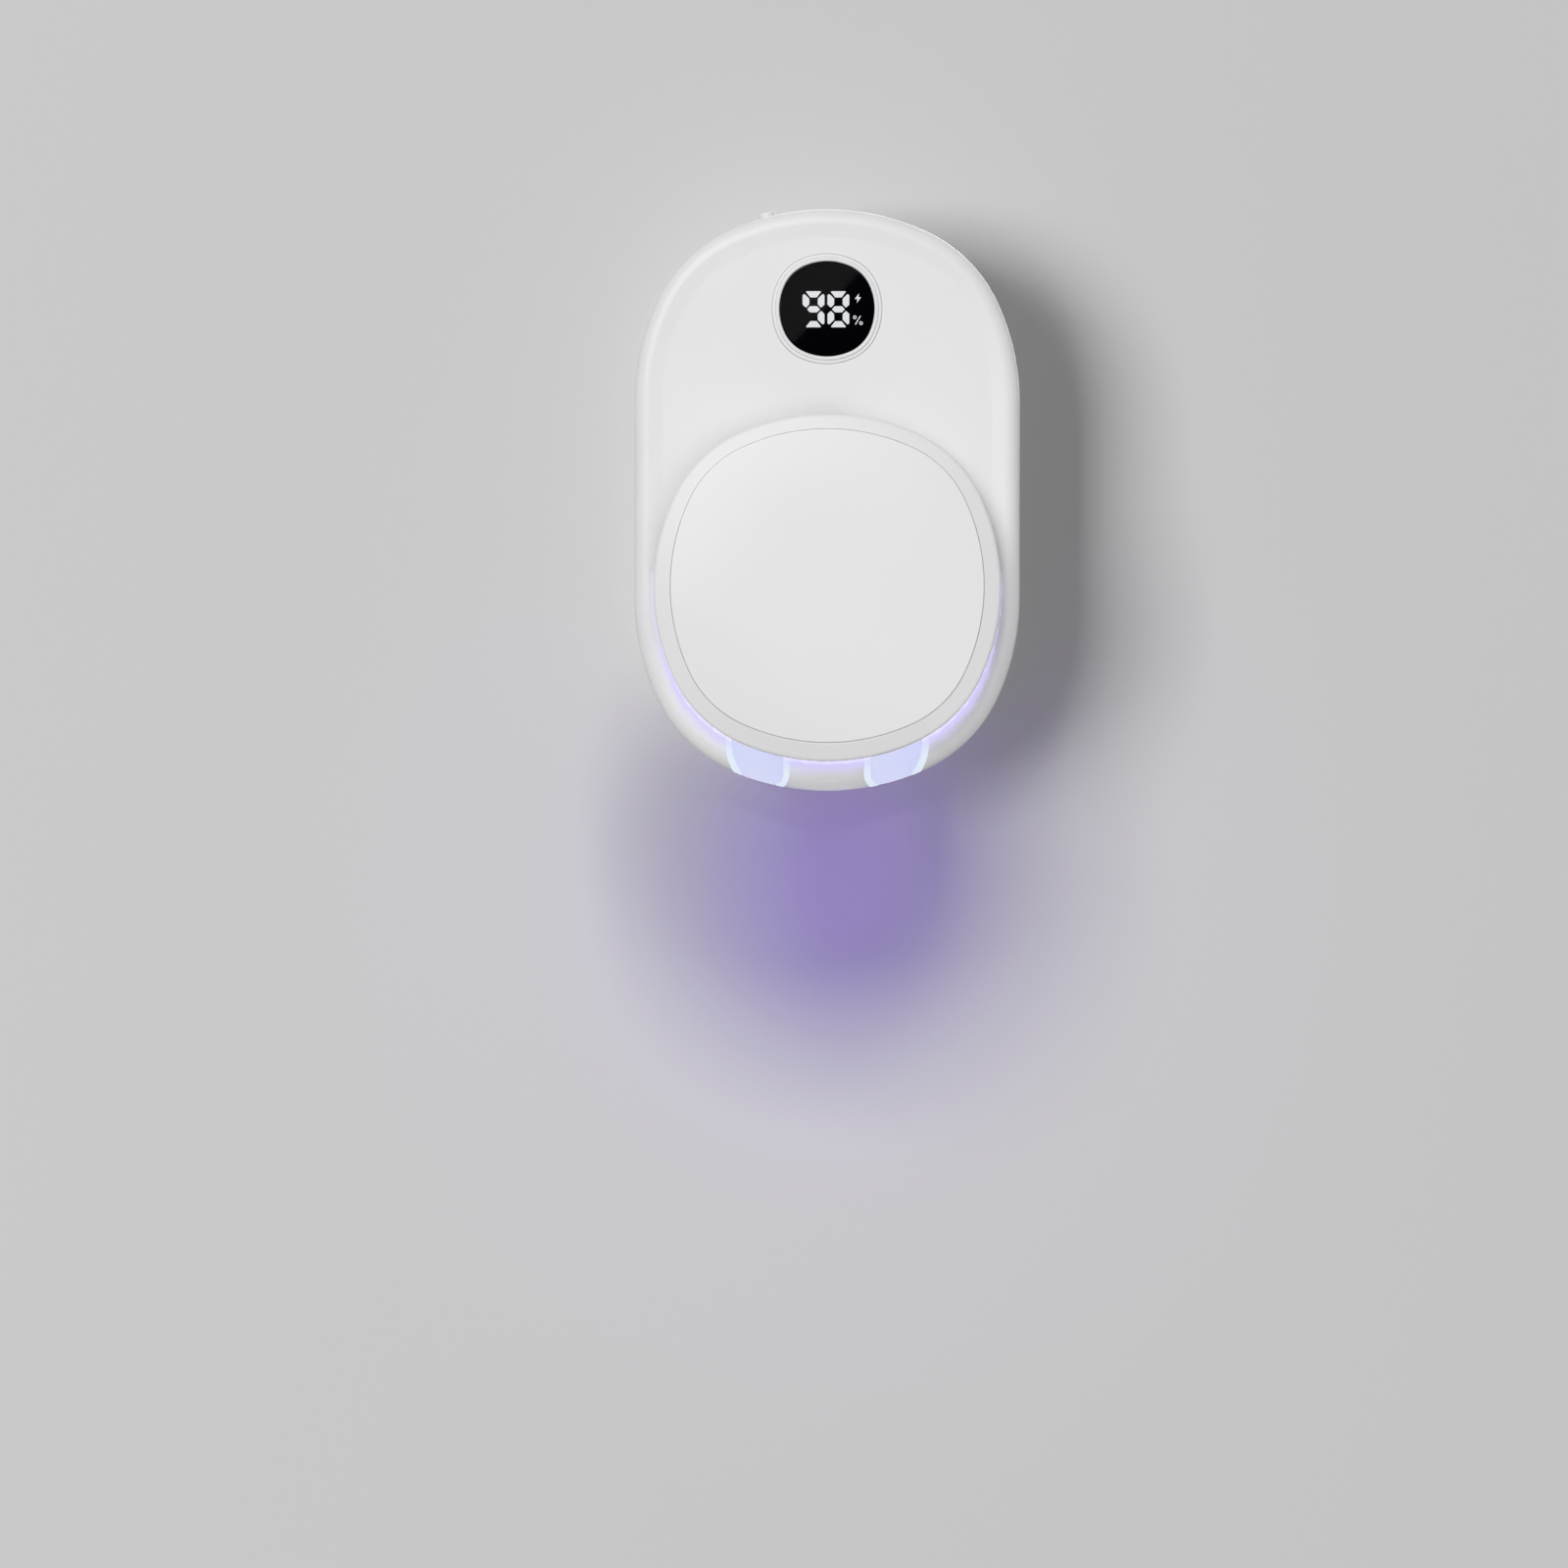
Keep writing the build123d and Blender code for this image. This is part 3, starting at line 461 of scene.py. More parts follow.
def wrapped(name, profile, half, reach, material, edge, closed=False, steps=128, rise=0.0, centre_z=0.0):
    """A piece whose profile of (inset, depth) points runs all round a soft-cornered outline."""
    points = []
    for i in range(steps + 1):
        turn = 2 * pi * (i + 0.5) / steps
        points += [(turn, inset * MM, depth * MM) for inset, depth in profile]
    count = len(profile)
    faces = []
    for i in range(steps):
        for j in range(count if closed else count - 1):
            k = (j + 1) % count
            faces.append((i * count + j, i * count + k, (i + 1) * count + k, (i + 1) * count + j))
    strip = bpy.data.meshes.new(name)
    strip.from_pydata(points, [], faces)
    piece = run_tree(link(strip, name), wrap_tree, Half=half * MM, Reach=reach, Rise=rise * MM,
                     Edge=edge * MM, Centre_Z=centre_z * MM, Material=material)
    settle(piece.data)
    return piece


def arc(middle, radius, first, last, steps=5):
    """Points of (inset, depth) along an arc, between two angles in degrees."""
    points = []
    for step in range(steps + 1):
        angle = radians(first + (last - first) * step / steps)
        points.append((middle[0] + radius * cos(angle), middle[1] + radius * sin(angle)))
    return points


CASING_HALF, CASING_RISE, SOFT_REACH, SOFT_EDGE = 39.5, 20.1, 1.039, 5.0
SEAL_BACK, SEAL_FRONT, SEAL_OUTSIDE, SEAL_INSIDE = 13.0, 13.35, 1.2, 2.2
lip = (SEAL_FRONT - SEAL_BACK) / 2
seal_profile = [(SEAL_INSIDE, SEAL_BACK)]
seal_profile += arc((SEAL_OUTSIDE + lip, SEAL_BACK + lip), lip, 270, 90)
seal_profile.append((SEAL_INSIDE, SEAL_FRONT))
seal_rubber = finish("seal_rubber", (0.36, 0.37, 0.39), (0.30, 0.31, 0.33), (0.60, 0.75), 0.006, 0.0003,
                     0.00002)
seal = wrapped("seal", seal_profile, CASING_HALF, SOFT_REACH, seal_rubber, SOFT_EDGE, closed=True,
               rise=CASING_RISE)
fit(seal, "casing", "seal_rubber", "casing_seal")

# ---------------------------------------------------------------- screws
# Zinc-plated steel screws with a pan head, a cross recess and a rolled thread. All but the lamp
# board's are driven from the back.


def turned(stations, segments=32):
    """A mesh turned about the depth axis, from (radius, depth) stations, closed at both ends."""
    mesh = bpy.data.meshes.new("turned")
    work = bmesh.new()
    rings = []
    angles = [2 * pi * i / segments for i in range(segments)]
    for radius, depth in stations:
        ring = [(radius * cos(angle) * MM, -depth * MM, radius * sin(angle) * MM) for angle in angles]
        rings.append([work.verts.new(point) for point in ring])
    for ring, following in zip(rings, rings[1:]):
        for i in range(segments):
            j = (i + 1) % segments
            work.faces.new((ring[i], ring[j], following[j], following[i]))
    work.faces.new(rings[0])
    work.faces.new(rings[-1])
    bmesh.ops.recalc_face_normals(work, faces=work.faces)
    work.to_mesh(mesh)
    work.free()
    return mesh


def cut_cross(mesh, head, deep):
    """Sinks a tapering cross into the head of a screw, whose top is at depth zero."""
    arm, web, floor_size, mouth_size, above = head * 0.62, head * 0.16, 0.72, 1.1, 0.3
    blank = link(mesh, "blank")
    work = bmesh.new()
    for wide, high in ((arm, web), (web, arm)):
        for vert in bmesh.ops.create_cube(work, size=2)["verts"]:
            taper, y = (floor_size, -deep) if vert.co.y < 0 else (mouth_size, above)
            vert.co = (vert.co.x * wide * taper * MM, y * MM, vert.co.z * high * taper * MM)
    tool_mesh = bpy.data.meshes.new("cross")
    work.to_mesh(tool_mesh)
    work.free()
    tool = link(tool_mesh, "cross")
    cut = blank.modifiers.new("cut", "BOOLEAN")
    cut.object, cut.operation, cut.solver, cut.use_self = tool, "DIFFERENCE", "EXACT", True
    bpy.context.view_layer.update()
    evaluated = blank.evaluated_get(bpy.context.evaluated_depsgraph_get())
    made = bpy.data.meshes.new_from_object(evaluated)
    for thing in (blank, tool):
        bpy.data.objects.remove(thing)
    return made


# The tree that stands a fastener on each point and winds a thread round its shank.
screw_tree, given, result = new_tree(
    "set_screws", Blank="Object", Shank="Float", Ridge="Float", First="Float", Length="Float", Turns="Float",
    Turned_Over="Float", Material="Material")
spiral = screw_tree.nodes.new("GeometryNodeCurveSpiral")
spiral.inputs["Resolution"].default_value = 20
spiral_inputs = {"Rotations": "Turns", "Start Radius": "Shank", "End Radius": "Shank", "Height": "Length"}
for label, source in spiral_inputs.items():
    screw_tree.links.new(given.outputs[source], spiral.inputs[label])
ridge = screw_tree.nodes.new("GeometryNodeCurvePrimitiveCircle")
ridge.inputs["Resolution"].default_value = 3
screw_tree.links.new(given.outputs["Ridge"], ridge.inputs["Radius"])
thread = screw_tree.nodes.new("GeometryNodeCurveToMesh")
thread.inputs["Fill Caps"].default_value = True
screw_tree.links.new(spiral.outputs[0], thread.inputs["Curve"])
screw_tree.links.new(ridge.outputs[0], thread.inputs["Profile Curve"])
start_at = screw_tree.nodes.new("ShaderNodeCombineXYZ")
screw_tree.links.new((Field(screw_tree, given.outputs["First"]) * -1).socket, start_at.inputs["Y"])
laid = screw_tree.nodes.new("GeometryNodeTransform")
laid.inputs["Rotation"].default_value = (pi / 2, 0, 0)
screw_tree.links.new(thread.outputs[0], laid.inputs[0])
screw_tree.links.new(start_at.outputs[0], laid.inputs["Translation"])
blank_info = screw_tree.nodes.new("GeometryNodeObjectInfo")
screw_tree.links.new(given.outputs["Blank"], blank_info.inputs[0])
both = screw_tree.nodes.new("GeometryNodeJoinGeometry")
screw_tree.links.new(laid.outputs[0], both.inputs[0])
screw_tree.links.new(blank_info.outputs["Geometry"], both.inputs[0])
stand = screw_tree.nodes.new("GeometryNodeInstanceOnPoints")
screw_tree.links.new(given.outputs["Geometry"], stand.inputs["Points"])
screw_tree.links.new(both.outputs[0], stand.inputs["Instance"])
facing = screw_tree.nodes.new("ShaderNodeCombineXYZ")
screw_tree.links.new(given.outputs["Turned Over"], facing.inputs["Z"])
screw_tree.links.new(facing.outputs[0], stand.inputs["Rotation"])
flow = join_up(screw_tree, stand.outputs[0], "RealizeInstances", "SetMaterial",
               Material=given.outputs["Material"])
screw_tree.links.new(flow, result.inputs[0])

screw_steel = finish("screw_steel", (0.62, 0.62, 0.65), (0.50, 0.50, 0.53), (0.22, 0.38), 0.001, 0.0001,
                     0.00001,
                     Metallic=1.0)


def point_mesh(name, places):
    """An object with one loose point at each (x, z, depth) place."""
    mesh = bpy.data.meshes.new(name)
    mesh.from_pydata([(x * MM, -depth * MM, z * MM) for x, z, depth in places], [], [])
    return link(mesh, name)


def screws(name, places, top, radius, head, height, length, body, node, front=False):
    """Pan-head screws with their heads' tops at one depth; front says that they enter from it."""
    core, pitch = radius * 0.78, radius * 0.9
    rounding, recess, point = height * 0.4, height * 0.6, 0.6
    thread_start, run = height + 0.3, length - height - 1.0
    edge = arc((head - rounding, rounding), rounding, 90, 0, 4)
    crown = [(out, 2 * rounding - depth) for out, depth in edge]
    stations = [(head * 0.5, 0)] + crown
    stations += [(head, height), (core, height), (core, length - point), (core * 0.3, length)]
    blank = link(cut_cross(turned(stations), head, recess), "blank")
    points = point_mesh(name, [(x, z, top) for x, z in places])
    piece = run_tree(points, screw_tree, Blank=blank, Shank=core * MM, Ridge=(radius - core) * MM,
                     First=thread_start * MM, Length=run * MM, Turns=run / pitch,
                     Turned_Over=pi if front else 0.0, Material=screw_steel)
    bpy.data.objects.remove(blank)
    settle(piece.data, 40)
    fit(piece, body, "screw_steel", node)


def four(x_top, z_top, x_bottom, z_bottom):
    """Two pairs of places, each with one place on the left and one on the right."""
    return [(-x_top, z_top), (x_top, z_top), (-x_bottom, z_bottom), (x_bottom, z_bottom)]


# Places, depth of the heads' tops, thread radius, head radius, head height, and length over all.
screws("casing_bolts", four(30.0, 34.0, 26.7, -42.0), 6.3, 1.1, 2.0, 1.6, 14.7, "casing", "casing_screws")
screws("tub_bolts", four(33.6, -8.0, 33.6, -28.0), 21.35, 0.8, 1.5, 1.2, 5.65, "casing", "tub_screws")
screws("board_bolts", four(20.5, 22.5, 19.0, 43.0), 17.1, 0.8, 1.5, 1.05, 6.9, "casing", "board_screws")
screws("liner_bolts", four(24.0, 2.0, 22.0, -40.0), 30.55, 0.8, 1.5, 0.84, 4.95, "door", "door_liner_screws")
screws("lamp_bolts", [(-18.0, -8.0), (18.0, -8.0)], 10.9, 0.68, 1.4, 0.85, 2.8, "casing", "led_screws",
       front=True)

# ---------------------------------------------------------------- chamber tub
# The tray behind the door, with a lined slot for each brush neck, in white polypropylene. The lamps' light on
# it is painted in as a pale blue glow: faint all over, and strong at the front of the slots' throats.

tub_plastic = finish("tub_plastic", (0.86, 0.86, 0.90), (0.84, 0.84, 0.88), (0.30, 0.42), 0.02, 0.0004,
                     0.00001,
                     Emission_Color=(0.70, 0.84, 1.0, 1))
TUB_FLOOR_Y, TUB_RIM_Y, THROAT_TOP_Z, THROAT_FOOT_Z = -21 * MM, -29 * MM, -45 * MM, -49 * MM
# Painted light: an emission that is faint everywhere on the tub and rises towards its front and the foot of
# each slot's throat.
PAINTED_FAINT_GLOW, PAINTED_SLOT_GLOW = 0.05, 0.9
where = add_node(tub_plastic, "ShaderNodeTexCoord")
part_of = add_node(tub_plastic, "ShaderNodeSeparateXYZ")
painted_rim_glow = add_node(tub_plastic, "ShaderNodeMapRange", From_Min=TUB_FLOOR_Y, From_Max=TUB_RIM_Y,
                    To_Max=PAINTED_SLOT_GLOW)
painted_throat_glow = add_node(tub_plastic, "ShaderNodeMapRange", From_Min=THROAT_TOP_Z, From_Max=THROAT_FOOT_Z)
glow = add_node(tub_plastic, "ShaderNodeMath", operation="MULTIPLY_ADD")
glow.inputs[2].default_value = PAINTED_FAINT_GLOW
wire(tub_plastic, where.outputs["Object"], part_of.inputs[0])
wire(tub_plastic, part_of.outputs["Y"], painted_rim_glow.inputs["Value"])
wire(tub_plastic, part_of.outputs["Z"], painted_throat_glow.inputs["Value"])
wire(tub_plastic, painted_rim_glow.outputs["Result"], glow.inputs[0])
wire(tub_plastic, painted_throat_glow.outputs["Result"], glow.inputs[1])
wire(tub_plastic, glow.outputs[0], tub_plastic.node_tree.nodes["Principled BSDF"].inputs["Emission Strength"])
dress(tub_plastic, "chamber_tub")

# ---------------------------------------------------------------- lamps and their window
# Three ultraviolet lamps stand on a white board behind a clear acrylic cover. Each is a ceramic
# block with a quartz dome over its chip. Brass posts hold the board, with a screw in each.

quartz = finish("uv_window", (0.95, 0.95, 1.0), (0.90, 0.90, 1.0), (0.03, 0.06), 0.02, 0.0006, 0.0,
                Transmission_Weight=1.0, IOR=1.49)
dress(quartz, "uv_window")
lamp_board = finish("lamp_board", (0.80, 0.80, 0.80), (0.74, 0.74, 0.75), (0.35, 0.45), 0.004, 0.0005,
                    0.00001)
dress(lamp_board, "uv_led_board")
brass = finish("brass", (0.80, 0.62, 0.30), (0.70, 0.52, 0.24), (0.22, 0.35), 0.001, 0.0002, 0.00001,
               Metallic=1.0)
dress(brass, "led_posts")

# The tree that stands a copy of one small shape on each point.
copy_tree, given, result = new_tree("set_out", Shape="Object", Material="Material")
shape_info = copy_tree.nodes.new("GeometryNodeObjectInfo")
copy_tree.links.new(given.outputs["Shape"], shape_info.inputs[0])
stand = copy_tree.nodes.new("GeometryNodeInstanceOnPoints")
copy_tree.links.new(given.outputs["Geometry"], stand.inputs["Points"])
copy_tree.links.new(shape_info.outputs["Geometry"], stand.inputs["Instance"])
flow = join_up(copy_tree, stand.outputs[0], "RealizeInstances", "SetMaterial",
               Material=given.outputs["Material"])
copy_tree.links.new(flow, result.inputs[0])


def set_out(name, shape, places, material):
    """Copies of one shape at (x, z, depth) places, as one piece."""
    pattern = link(shape, "pattern")
    piece = run_tree(point_mesh(name, places), copy_tree, Shape=pattern, Material=material)
    bpy.data.objects.remove(pattern)
    settle(piece.data)
    return piece


LAMP_Z, LAMP_BOARD_FACE, LAMP_SPACING = -8.0, 10.0, 9.0
LAMP_WIDTH, LAMP_FRONT, DOME_RADIUS, DOME_RISE, DOME_STEPS = 3.5, 0.9, 1.25, 0.58, 10
lamps = [(i * LAMP_SPACING, LAMP_Z, LAMP_BOARD_FACE) for i in (-1, 0, 1)]
ceramic = finish("lamp_ceramic", (0.78, 0.76, 0.74), (0.70, 0.68, 0.66), (0.4, 0.5), 0.002, 0.0002, 0.00001)
block_profile = [(0.05, 0.02), (0, 0.1), (0, LAMP_FRONT - 0.1), (0.1, LAMP_FRONT)]
block = plate(LAMP_WIDTH, LAMP_WIDTH, 0.3, block_profile, steps=3)
fit(set_out("lamp_blocks", block, lamps, ceramic), "casing", "lamp", "uv_leds")
lamp_glow = finish("lamp_glow", (0.80, 0.76, 0.95), (0.72, 0.66, 0.92), (0.15, 0.25), 0.001, 0.0002,
                   Emission_Color=(0.42, 0.30, 1.0, 1), Emission_Strength=30.0)
dome_stations = [(DOME_RADIUS, LAMP_FRONT)]
for step in range(DOME_STEPS):
    angle = pi / 2 * step / DOME_STEPS
    dome_stations.append((DOME_RADIUS * cos(angle), LAMP_FRONT + 0.02 + DOME_RISE * sin(angle)))
dome = turned(dome_stations, 24)
fit(set_out("lamp_domes", dome, lamps, lamp_glow), "casing", "lamp")

# ---------------------------------------------------------------- battery gauge
# A white ring clipped into the face round a smoked acrylic window. A black tape ring holds the
# window, and behind it stands a black digit block whose marks are lit from behind.

GAUGE_HALF, GAUGE_REACH, GAUGE_Z = 11.25, 1.027, 39.1
BEZEL_BACK, BEZEL_FLANGE, FLANGE_FRONT = 27.1, -1.3, 28.15
BORDER_FRONT, BORDER_ROUND, GROOVE_OUTSIDE, GROOVE_FLOOR = 30.35, 0.12, 0.57, 30.25
RING_OUTSIDE, RING_INSIDE, RING_FRONT, RING_ROUND = 0.65, 1.5, 30.60, 0.36
LEDGE_INSIDE, LEDGE_FRONT = 2.35, 28.80
bezel_profile = [(BEZEL_FLANGE, BEZEL_BACK), (BEZEL_FLANGE, FLANGE_FRONT), (0, FLANGE_FRONT)]
bezel_profile += arc((BORDER_ROUND, BORDER_FRONT - BORDER_ROUND), BORDER_ROUND, 180, 90, 3)
bezel_profile += [(GROOVE_OUTSIDE, BORDER_FRONT), (GROOVE_OUTSIDE, GROOVE_FLOOR)]
bezel_profile.append((RING_OUTSIDE, GROOVE_FLOOR))
bezel_profile += arc((RING_OUTSIDE + RING_ROUND, RING_FRONT - RING_ROUND), RING_ROUND, 180, 90)
bezel_profile += arc((RING_INSIDE - RING_ROUND, RING_FRONT - RING_ROUND), RING_ROUND, 90, 0)
bezel_profile += [(RING_INSIDE, LEDGE_FRONT), (LEDGE_INSIDE, LEDGE_FRONT), (LEDGE_INSIDE, BEZEL_BACK)]
bezel = wrapped("bezel", bezel_profile, GAUGE_HALF, GAUGE_REACH, shell_plastic, SOFT_EDGE, closed=True,
                centre_z=GAUGE_Z)
fit(bezel, "casing", "shell_plastic", "display_bezel")

smoked = finish("smoked_acrylic", (0.004, 0.004, 0.005), (0.003, 0.003, 0.004), (0.012, 0.02), 0.01, 0.001,
                Alpha=0.5)
smoked.surface_render_method = "BLENDED"
LENS_FRONT, LENS_BACK, LENS_INSET, LENS_ROUND, LENS_EDGE = 30.1, 28.94, 1.55, 0.1, 3.0
lens_profile = [(GAUGE_HALF, LENS_FRONT), (1.9, LENS_FRONT), (1.72, LENS_FRONT)]
lens_profile += arc((LENS_INSET + LENS_ROUND, LENS_FRONT - LENS_ROUND), LENS_ROUND, 90, 180, 3)
lens_profile += [(LENS_INSET, LENS_BACK), (GAUGE_HALF, LENS_BACK)]
window = wrapped("gauge_window", lens_profile, GAUGE_HALF, GAUGE_REACH, smoked, LENS_EDGE, centre_z=GAUGE_Z)
fit(window, "casing", "lens_smoked", "display_lens")

black_block = finish("black_block", (0.012, 0.012, 0.013), (0.008, 0.008, 0.009), (0.70, 0.85), 0.004,
                     0.0003, 0.00002)
dress(black_block, "display_module", "lens_tape", "usb_tongue", "switch_plunger")
digit_light = finish("digit_light", (0.9, 0.9, 0.92), (0.85, 0.85, 0.88), (0.4, 0.5), 0.001, 0.0003,
                     Emission_Color=(0.95, 0.96, 0.98, 1), Emission_Strength=3.0)
dress(digit_light, "display_segments")

BOARD_FRONT = 19.4
PIN_PITCH, PIN_ROW, PIN_LENGTH = 4, 6.5, 2.16
pin = plate(0.5, 0.3, 0.06, [(0.02, 0), (0, 0.05), (0, PIN_LENGTH - 0.06), (0.02, PIN_LENGTH)], steps=2)
pin_places = [(PIN_PITCH * i, GAUGE_Z + side * PIN_ROW, BOARD_FRONT)
              for i in range(-2, 3) for side in (-1, 1)]
fit(set_out("gauge_pins", pin, pin_places, brass), "casing", "pin_plate", "display_pins")

# ---------------------------------------------------------------- control board
# A green fibreglass board with its chips, plugs, charging socket and wires. The chips stand on bent
# tin-plated legs, and the socket's tongue has gold-plated contacts on both faces.

board_green = finish("board_green", (0.03, 0.22, 0.10), (0.02, 0.15, 0.07), (0.25, 0.4), 0.002, 0.0004,
                     0.00002)
dress(board_green, "main_board", "door_sensor")
chip_black = finish("chip_black", (0.030, 0.030, 0.032), (0.022, 0.022, 0.024), (0.5, 0.65), 0.002, 0.0002,
                    0.00001)
dress(chip_black, "button_switch")

# Each chip's limits from left to right and from foot to top, and the depth of its face.
MAIN_CHIP = ((-4, 4), (24, 30), 20.9)
CHARGE_CHIP = ((-14.5, -9.5), (25, 29), 20.6)
RESONATOR = ((10, 12), (24.5, 29.5), 20.4)


def joined(*meshes):
    """One mesh of several."""
    work = bmesh.new()
    for mesh in meshes:
        work.from_mesh(mesh)
    whole = bpy.data.meshes.new("joined")
    work.to_mesh(whole)
    work.free()
    return whole


def chip_leg(outwards):
    """A flat leg that comes down a chip's side and turns out along the board."""
    width, thickness, corner = 0.32, 0.14, 0.04
    foot = plate(width, 0.85, corner, [(0, 0.02), (0, thickness)], (0, outwards * 0.36), 1)
    shin = plate(width, thickness, corner, [(0, 0.10), (0, 0.80)], (0, outwards * 0.05), 1)
    return joined(foot, shin)


tinned = finish("tinned_leg", (0.72, 0.71, 0.68), (0.62, 0.61, 0.58), (0.2, 0.35), 0.001, 0.0001, 0.000005,
                Metallic=1.0)
for edge, outwards in enumerate((-1, 1)):
    row = [(0.8 * i, MAIN_CHIP[1][edge], BOARD_FRONT) for i in range(-4, 5)]
    row += [(-13.8 + 1.2 * i, CHARGE_CHIP[1][edge], BOARD_FRONT) for i in range(4)]
    fit(set_out(f"chip_legs_{outwards + 1}", chip_leg(outwards), row, tinned), "casing", "pin_plate")


def moulded(x_range, z_range, back, front, corner=0.12, edge=0.1):
    """A block with softened edges, between two pairs of limits and two depths."""
    at = (sum(x_range) / 2, sum(z_range) / 2)
    profile = [(edge, back), (0, back + edge), (0, front - edge), (edge, front)]
    return plate(x_range[1] - x_range[0], z_range[1] - z_range[0], corner, profile, at, 2)


def fixed(name, mesh, material, slot, *replaced):
    """A piece of the casing made from one mesh."""
    mesh.materials.append(material)
    settle(mesh)
    fit(link(mesh, name), "casing", slot, *replaced)


seat = BOARD_FRONT + 0.02
chips = [moulded(across, upwards, seat, face)
         for across, upwards, face in (MAIN_CHIP, CHARGE_CHIP, RESONATOR)]
fixed("chip_bodies", joined(*chips), chip_black, "chip_black", "board_chips")

# A choke: copper wire wound on a black bobbin with two flanges.
COIL_AT, FLANGE_RADIUS, CORE_RADIUS, COIL_WIRE = [(13.7, 33.0, 0)], 2.3, 1.9, 0.1
back_flange = [(FLANGE_RADIUS - 0.1, seat), (FLANGE_RADIUS, 19.5), (FLANGE_RADIUS, 19.7),
               (CORE_RADIUS, 19.75)]
front_flange = [(CORE_RADIUS, 21.45), (FLANGE_RADIUS, 21.5), (FLANGE_RADIUS, 21.7),
                (FLANGE_RADIUS - 0.1, 21.8)]
bobbin = turned(back_flange + front_flange)
fit(set_out("coil_bobbin", bobbin, COIL_AT, chip_black), "casing", "chip_black")
winding = turned([(CORE_RADIUS + 0.13 + COIL_WIRE * (i % 2), 19.80 + COIL_WIRE * i) for i in range(17)])
copper = finish("coil_copper", (0.80, 0.36, 0.16), (0.68, 0.28, 0.12), (0.2, 0.3), 0.001, 0.0001, 0.0,
                Metallic=1.0)
fit(set_out("coil_winding", winding, COIL_AT, copper), "casing", "chip_black")

# Four ceramic capacitors with tinned ends.
capacitors = [(-8 + 6 * i, 47.8, 16.9) for i in range(4)]
body = plate(1.4, 1.1, 0.08, [(0.05, 0.03), (0, 0.08), (0, 1.15), (0.05, 1.2)], steps=2)
end_profile = [(0.05, 0), (0, 0.05), (0, 1.23), (0.05, 1.28)]
ends = joined(*[plate(0.42, 1.2, 0.1, end_profile, (x, 0), 2) for x in (-0.79, 0.79)])
fit(set_out("capacitor_bodies", body, capacitors, ceramic), "casing", "chip_black")
fit(set_out("capacitor_ends", ends, capacitors, tinned), "casing", "chip_black")

gold = finish("contact_gold", (0.90, 0.70, 0.32), (0.82, 0.62, 0.26), (0.15, 0.25), 0.001, 0.0001, 0.0,
              Metallic=1.0)
PAD_RADIUS, CONTACTS, CONTACT_PITCH, CONTACT_WIDTH, CONTACT_LENGTH = 0.62, 8, 0.72, 0.34, 4.4
pad = turned([(PAD_RADIUS, BOARD_FRONT), (PAD_RADIUS, BOARD_FRONT + 0.03), (0.55, BOARD_FRONT + 0.04)], 20)
pads = [(x, z, 0) for x, z, depth in pin_places] + [(-18 + 2.5 * i, 20.5, 0) for i in range(5)]
fit(set_out("board_pads", pad, pads, gold), "casing", "pin_plate")
tongue_low, tongue_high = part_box("usb_tongue")
tongue_z = (tongue_low.z + tongue_high.z) / 2 / MM
front_contact = plate(CONTACT_WIDTH, CONTACT_LENGTH, 0.06, [(0, -0.01), (0, 0.03), (0.03, 0.04)], steps=2)
back_contact = plate(CONTACT_WIDTH, CONTACT_LENGTH, 0.06, [(0.03, -0.04), (0, -0.03), (0, 0.01)], steps=2)
for face, shape, y in (("front", front_contact, tongue_low.y), ("back", back_contact, tongue_high.y)):
    places = [((i - (CONTACTS - 1) / 2) * CONTACT_PITCH, tongue_z, -y / MM) for i in range(CONTACTS)]
    fit(set_out("usb_contacts_" + face, shape, places, gold), "casing", "pin_plate")

plug_nylon = finish("plug_nylon", (0.78, 0.76, 0.70), (0.72, 0.70, 0.64), (0.4, 0.5), 0.002, 0.0003,
                    0.00001)
PLUG_X, PLUG_HALF, PLUG_ENDS, PLUG_FACE = 20.05, 3.15, (27.3, 33.3), 23.62
RIB_HALF, RIB_ENDS, RIB_FACE = 0.4, (28.0, 32.6), 23.8
for side, node in ((1, "battery_plug"), (-1, "led_plug")):
    middle = side * PLUG_X
    rib_middles = (middle - 2, middle, middle + 2)
    ribs = [moulded((x - RIB_HALF, x + RIB_HALF), RIB_ENDS, 23.3, RIB_FACE) for x in rib_middles]
    housing = moulded((middle - PLUG_HALF, middle + PLUG_HALF), PLUG_ENDS, seat, PLUG_FACE, 0.35, 0.25)
    fixed(node + "_housing", joined(housing, *ribs), plug_nylon, "plug_white", node)
socket_steel = finish("socket_steel", (0.72, 0.72, 0.74), (0.62, 0.62, 0.64), (0.18, 0.3), 0.002, 0.0002,
                      0.000005, Metallic=1.0)
dress(socket_steel, "usb_socket")
cell_foil = finish("cell_foil", (0.70, 0.71, 0.73), (0.60, 0.61, 0.64), (0.25, 0.4), 0.006, 0.0008, 0.00005,
                   Metallic=0.9)

# The cell is an aluminium pouch with a pressed cup. Amber tape covers the guard circuit at its
# right-hand end, where the leads come out.
cell_low, cell_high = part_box("battery_cell")
cell_back, cell_front = -cell_high.y / MM, -cell_low.y / MM
cell_size = (cell_high - cell_low) / MM
cell_z = (cell_low.z + cell_high.z) / 2 / MM
GUARD_WIDTH, GUARD_BACK, GUARD_FRONT, POUCH_FOLD, POUCH_CORNER = 3.2, 9.6, 13.6, 0.9, 2.2
pouch_profile = arc((POUCH_FOLD, cell_back + POUCH_FOLD), POUCH_FOLD, 270, 180, 4)
pouch_profile += arc((POUCH_FOLD, cell_front - POUCH_FOLD), POUCH_FOLD, 180, 90, 4)
pouch_profile += [(1.5, cell_front), (1.8, cell_front - 0.12)]
pouch = plate(cell_size.x - GUARD_WIDTH, cell_size.z, POUCH_CORNER, pouch_profile, (-GUARD_WIDTH / 2, cell_z))
guard_profile = [(0.2, GUARD_BACK), (0, GUARD_BACK + 0.2), (0, GUARD_FRONT - 0.2), (0.2, GUARD_FRONT)]
guard_at = (cell_size.x / 2 - GUARD_WIDTH / 2, cell_z)
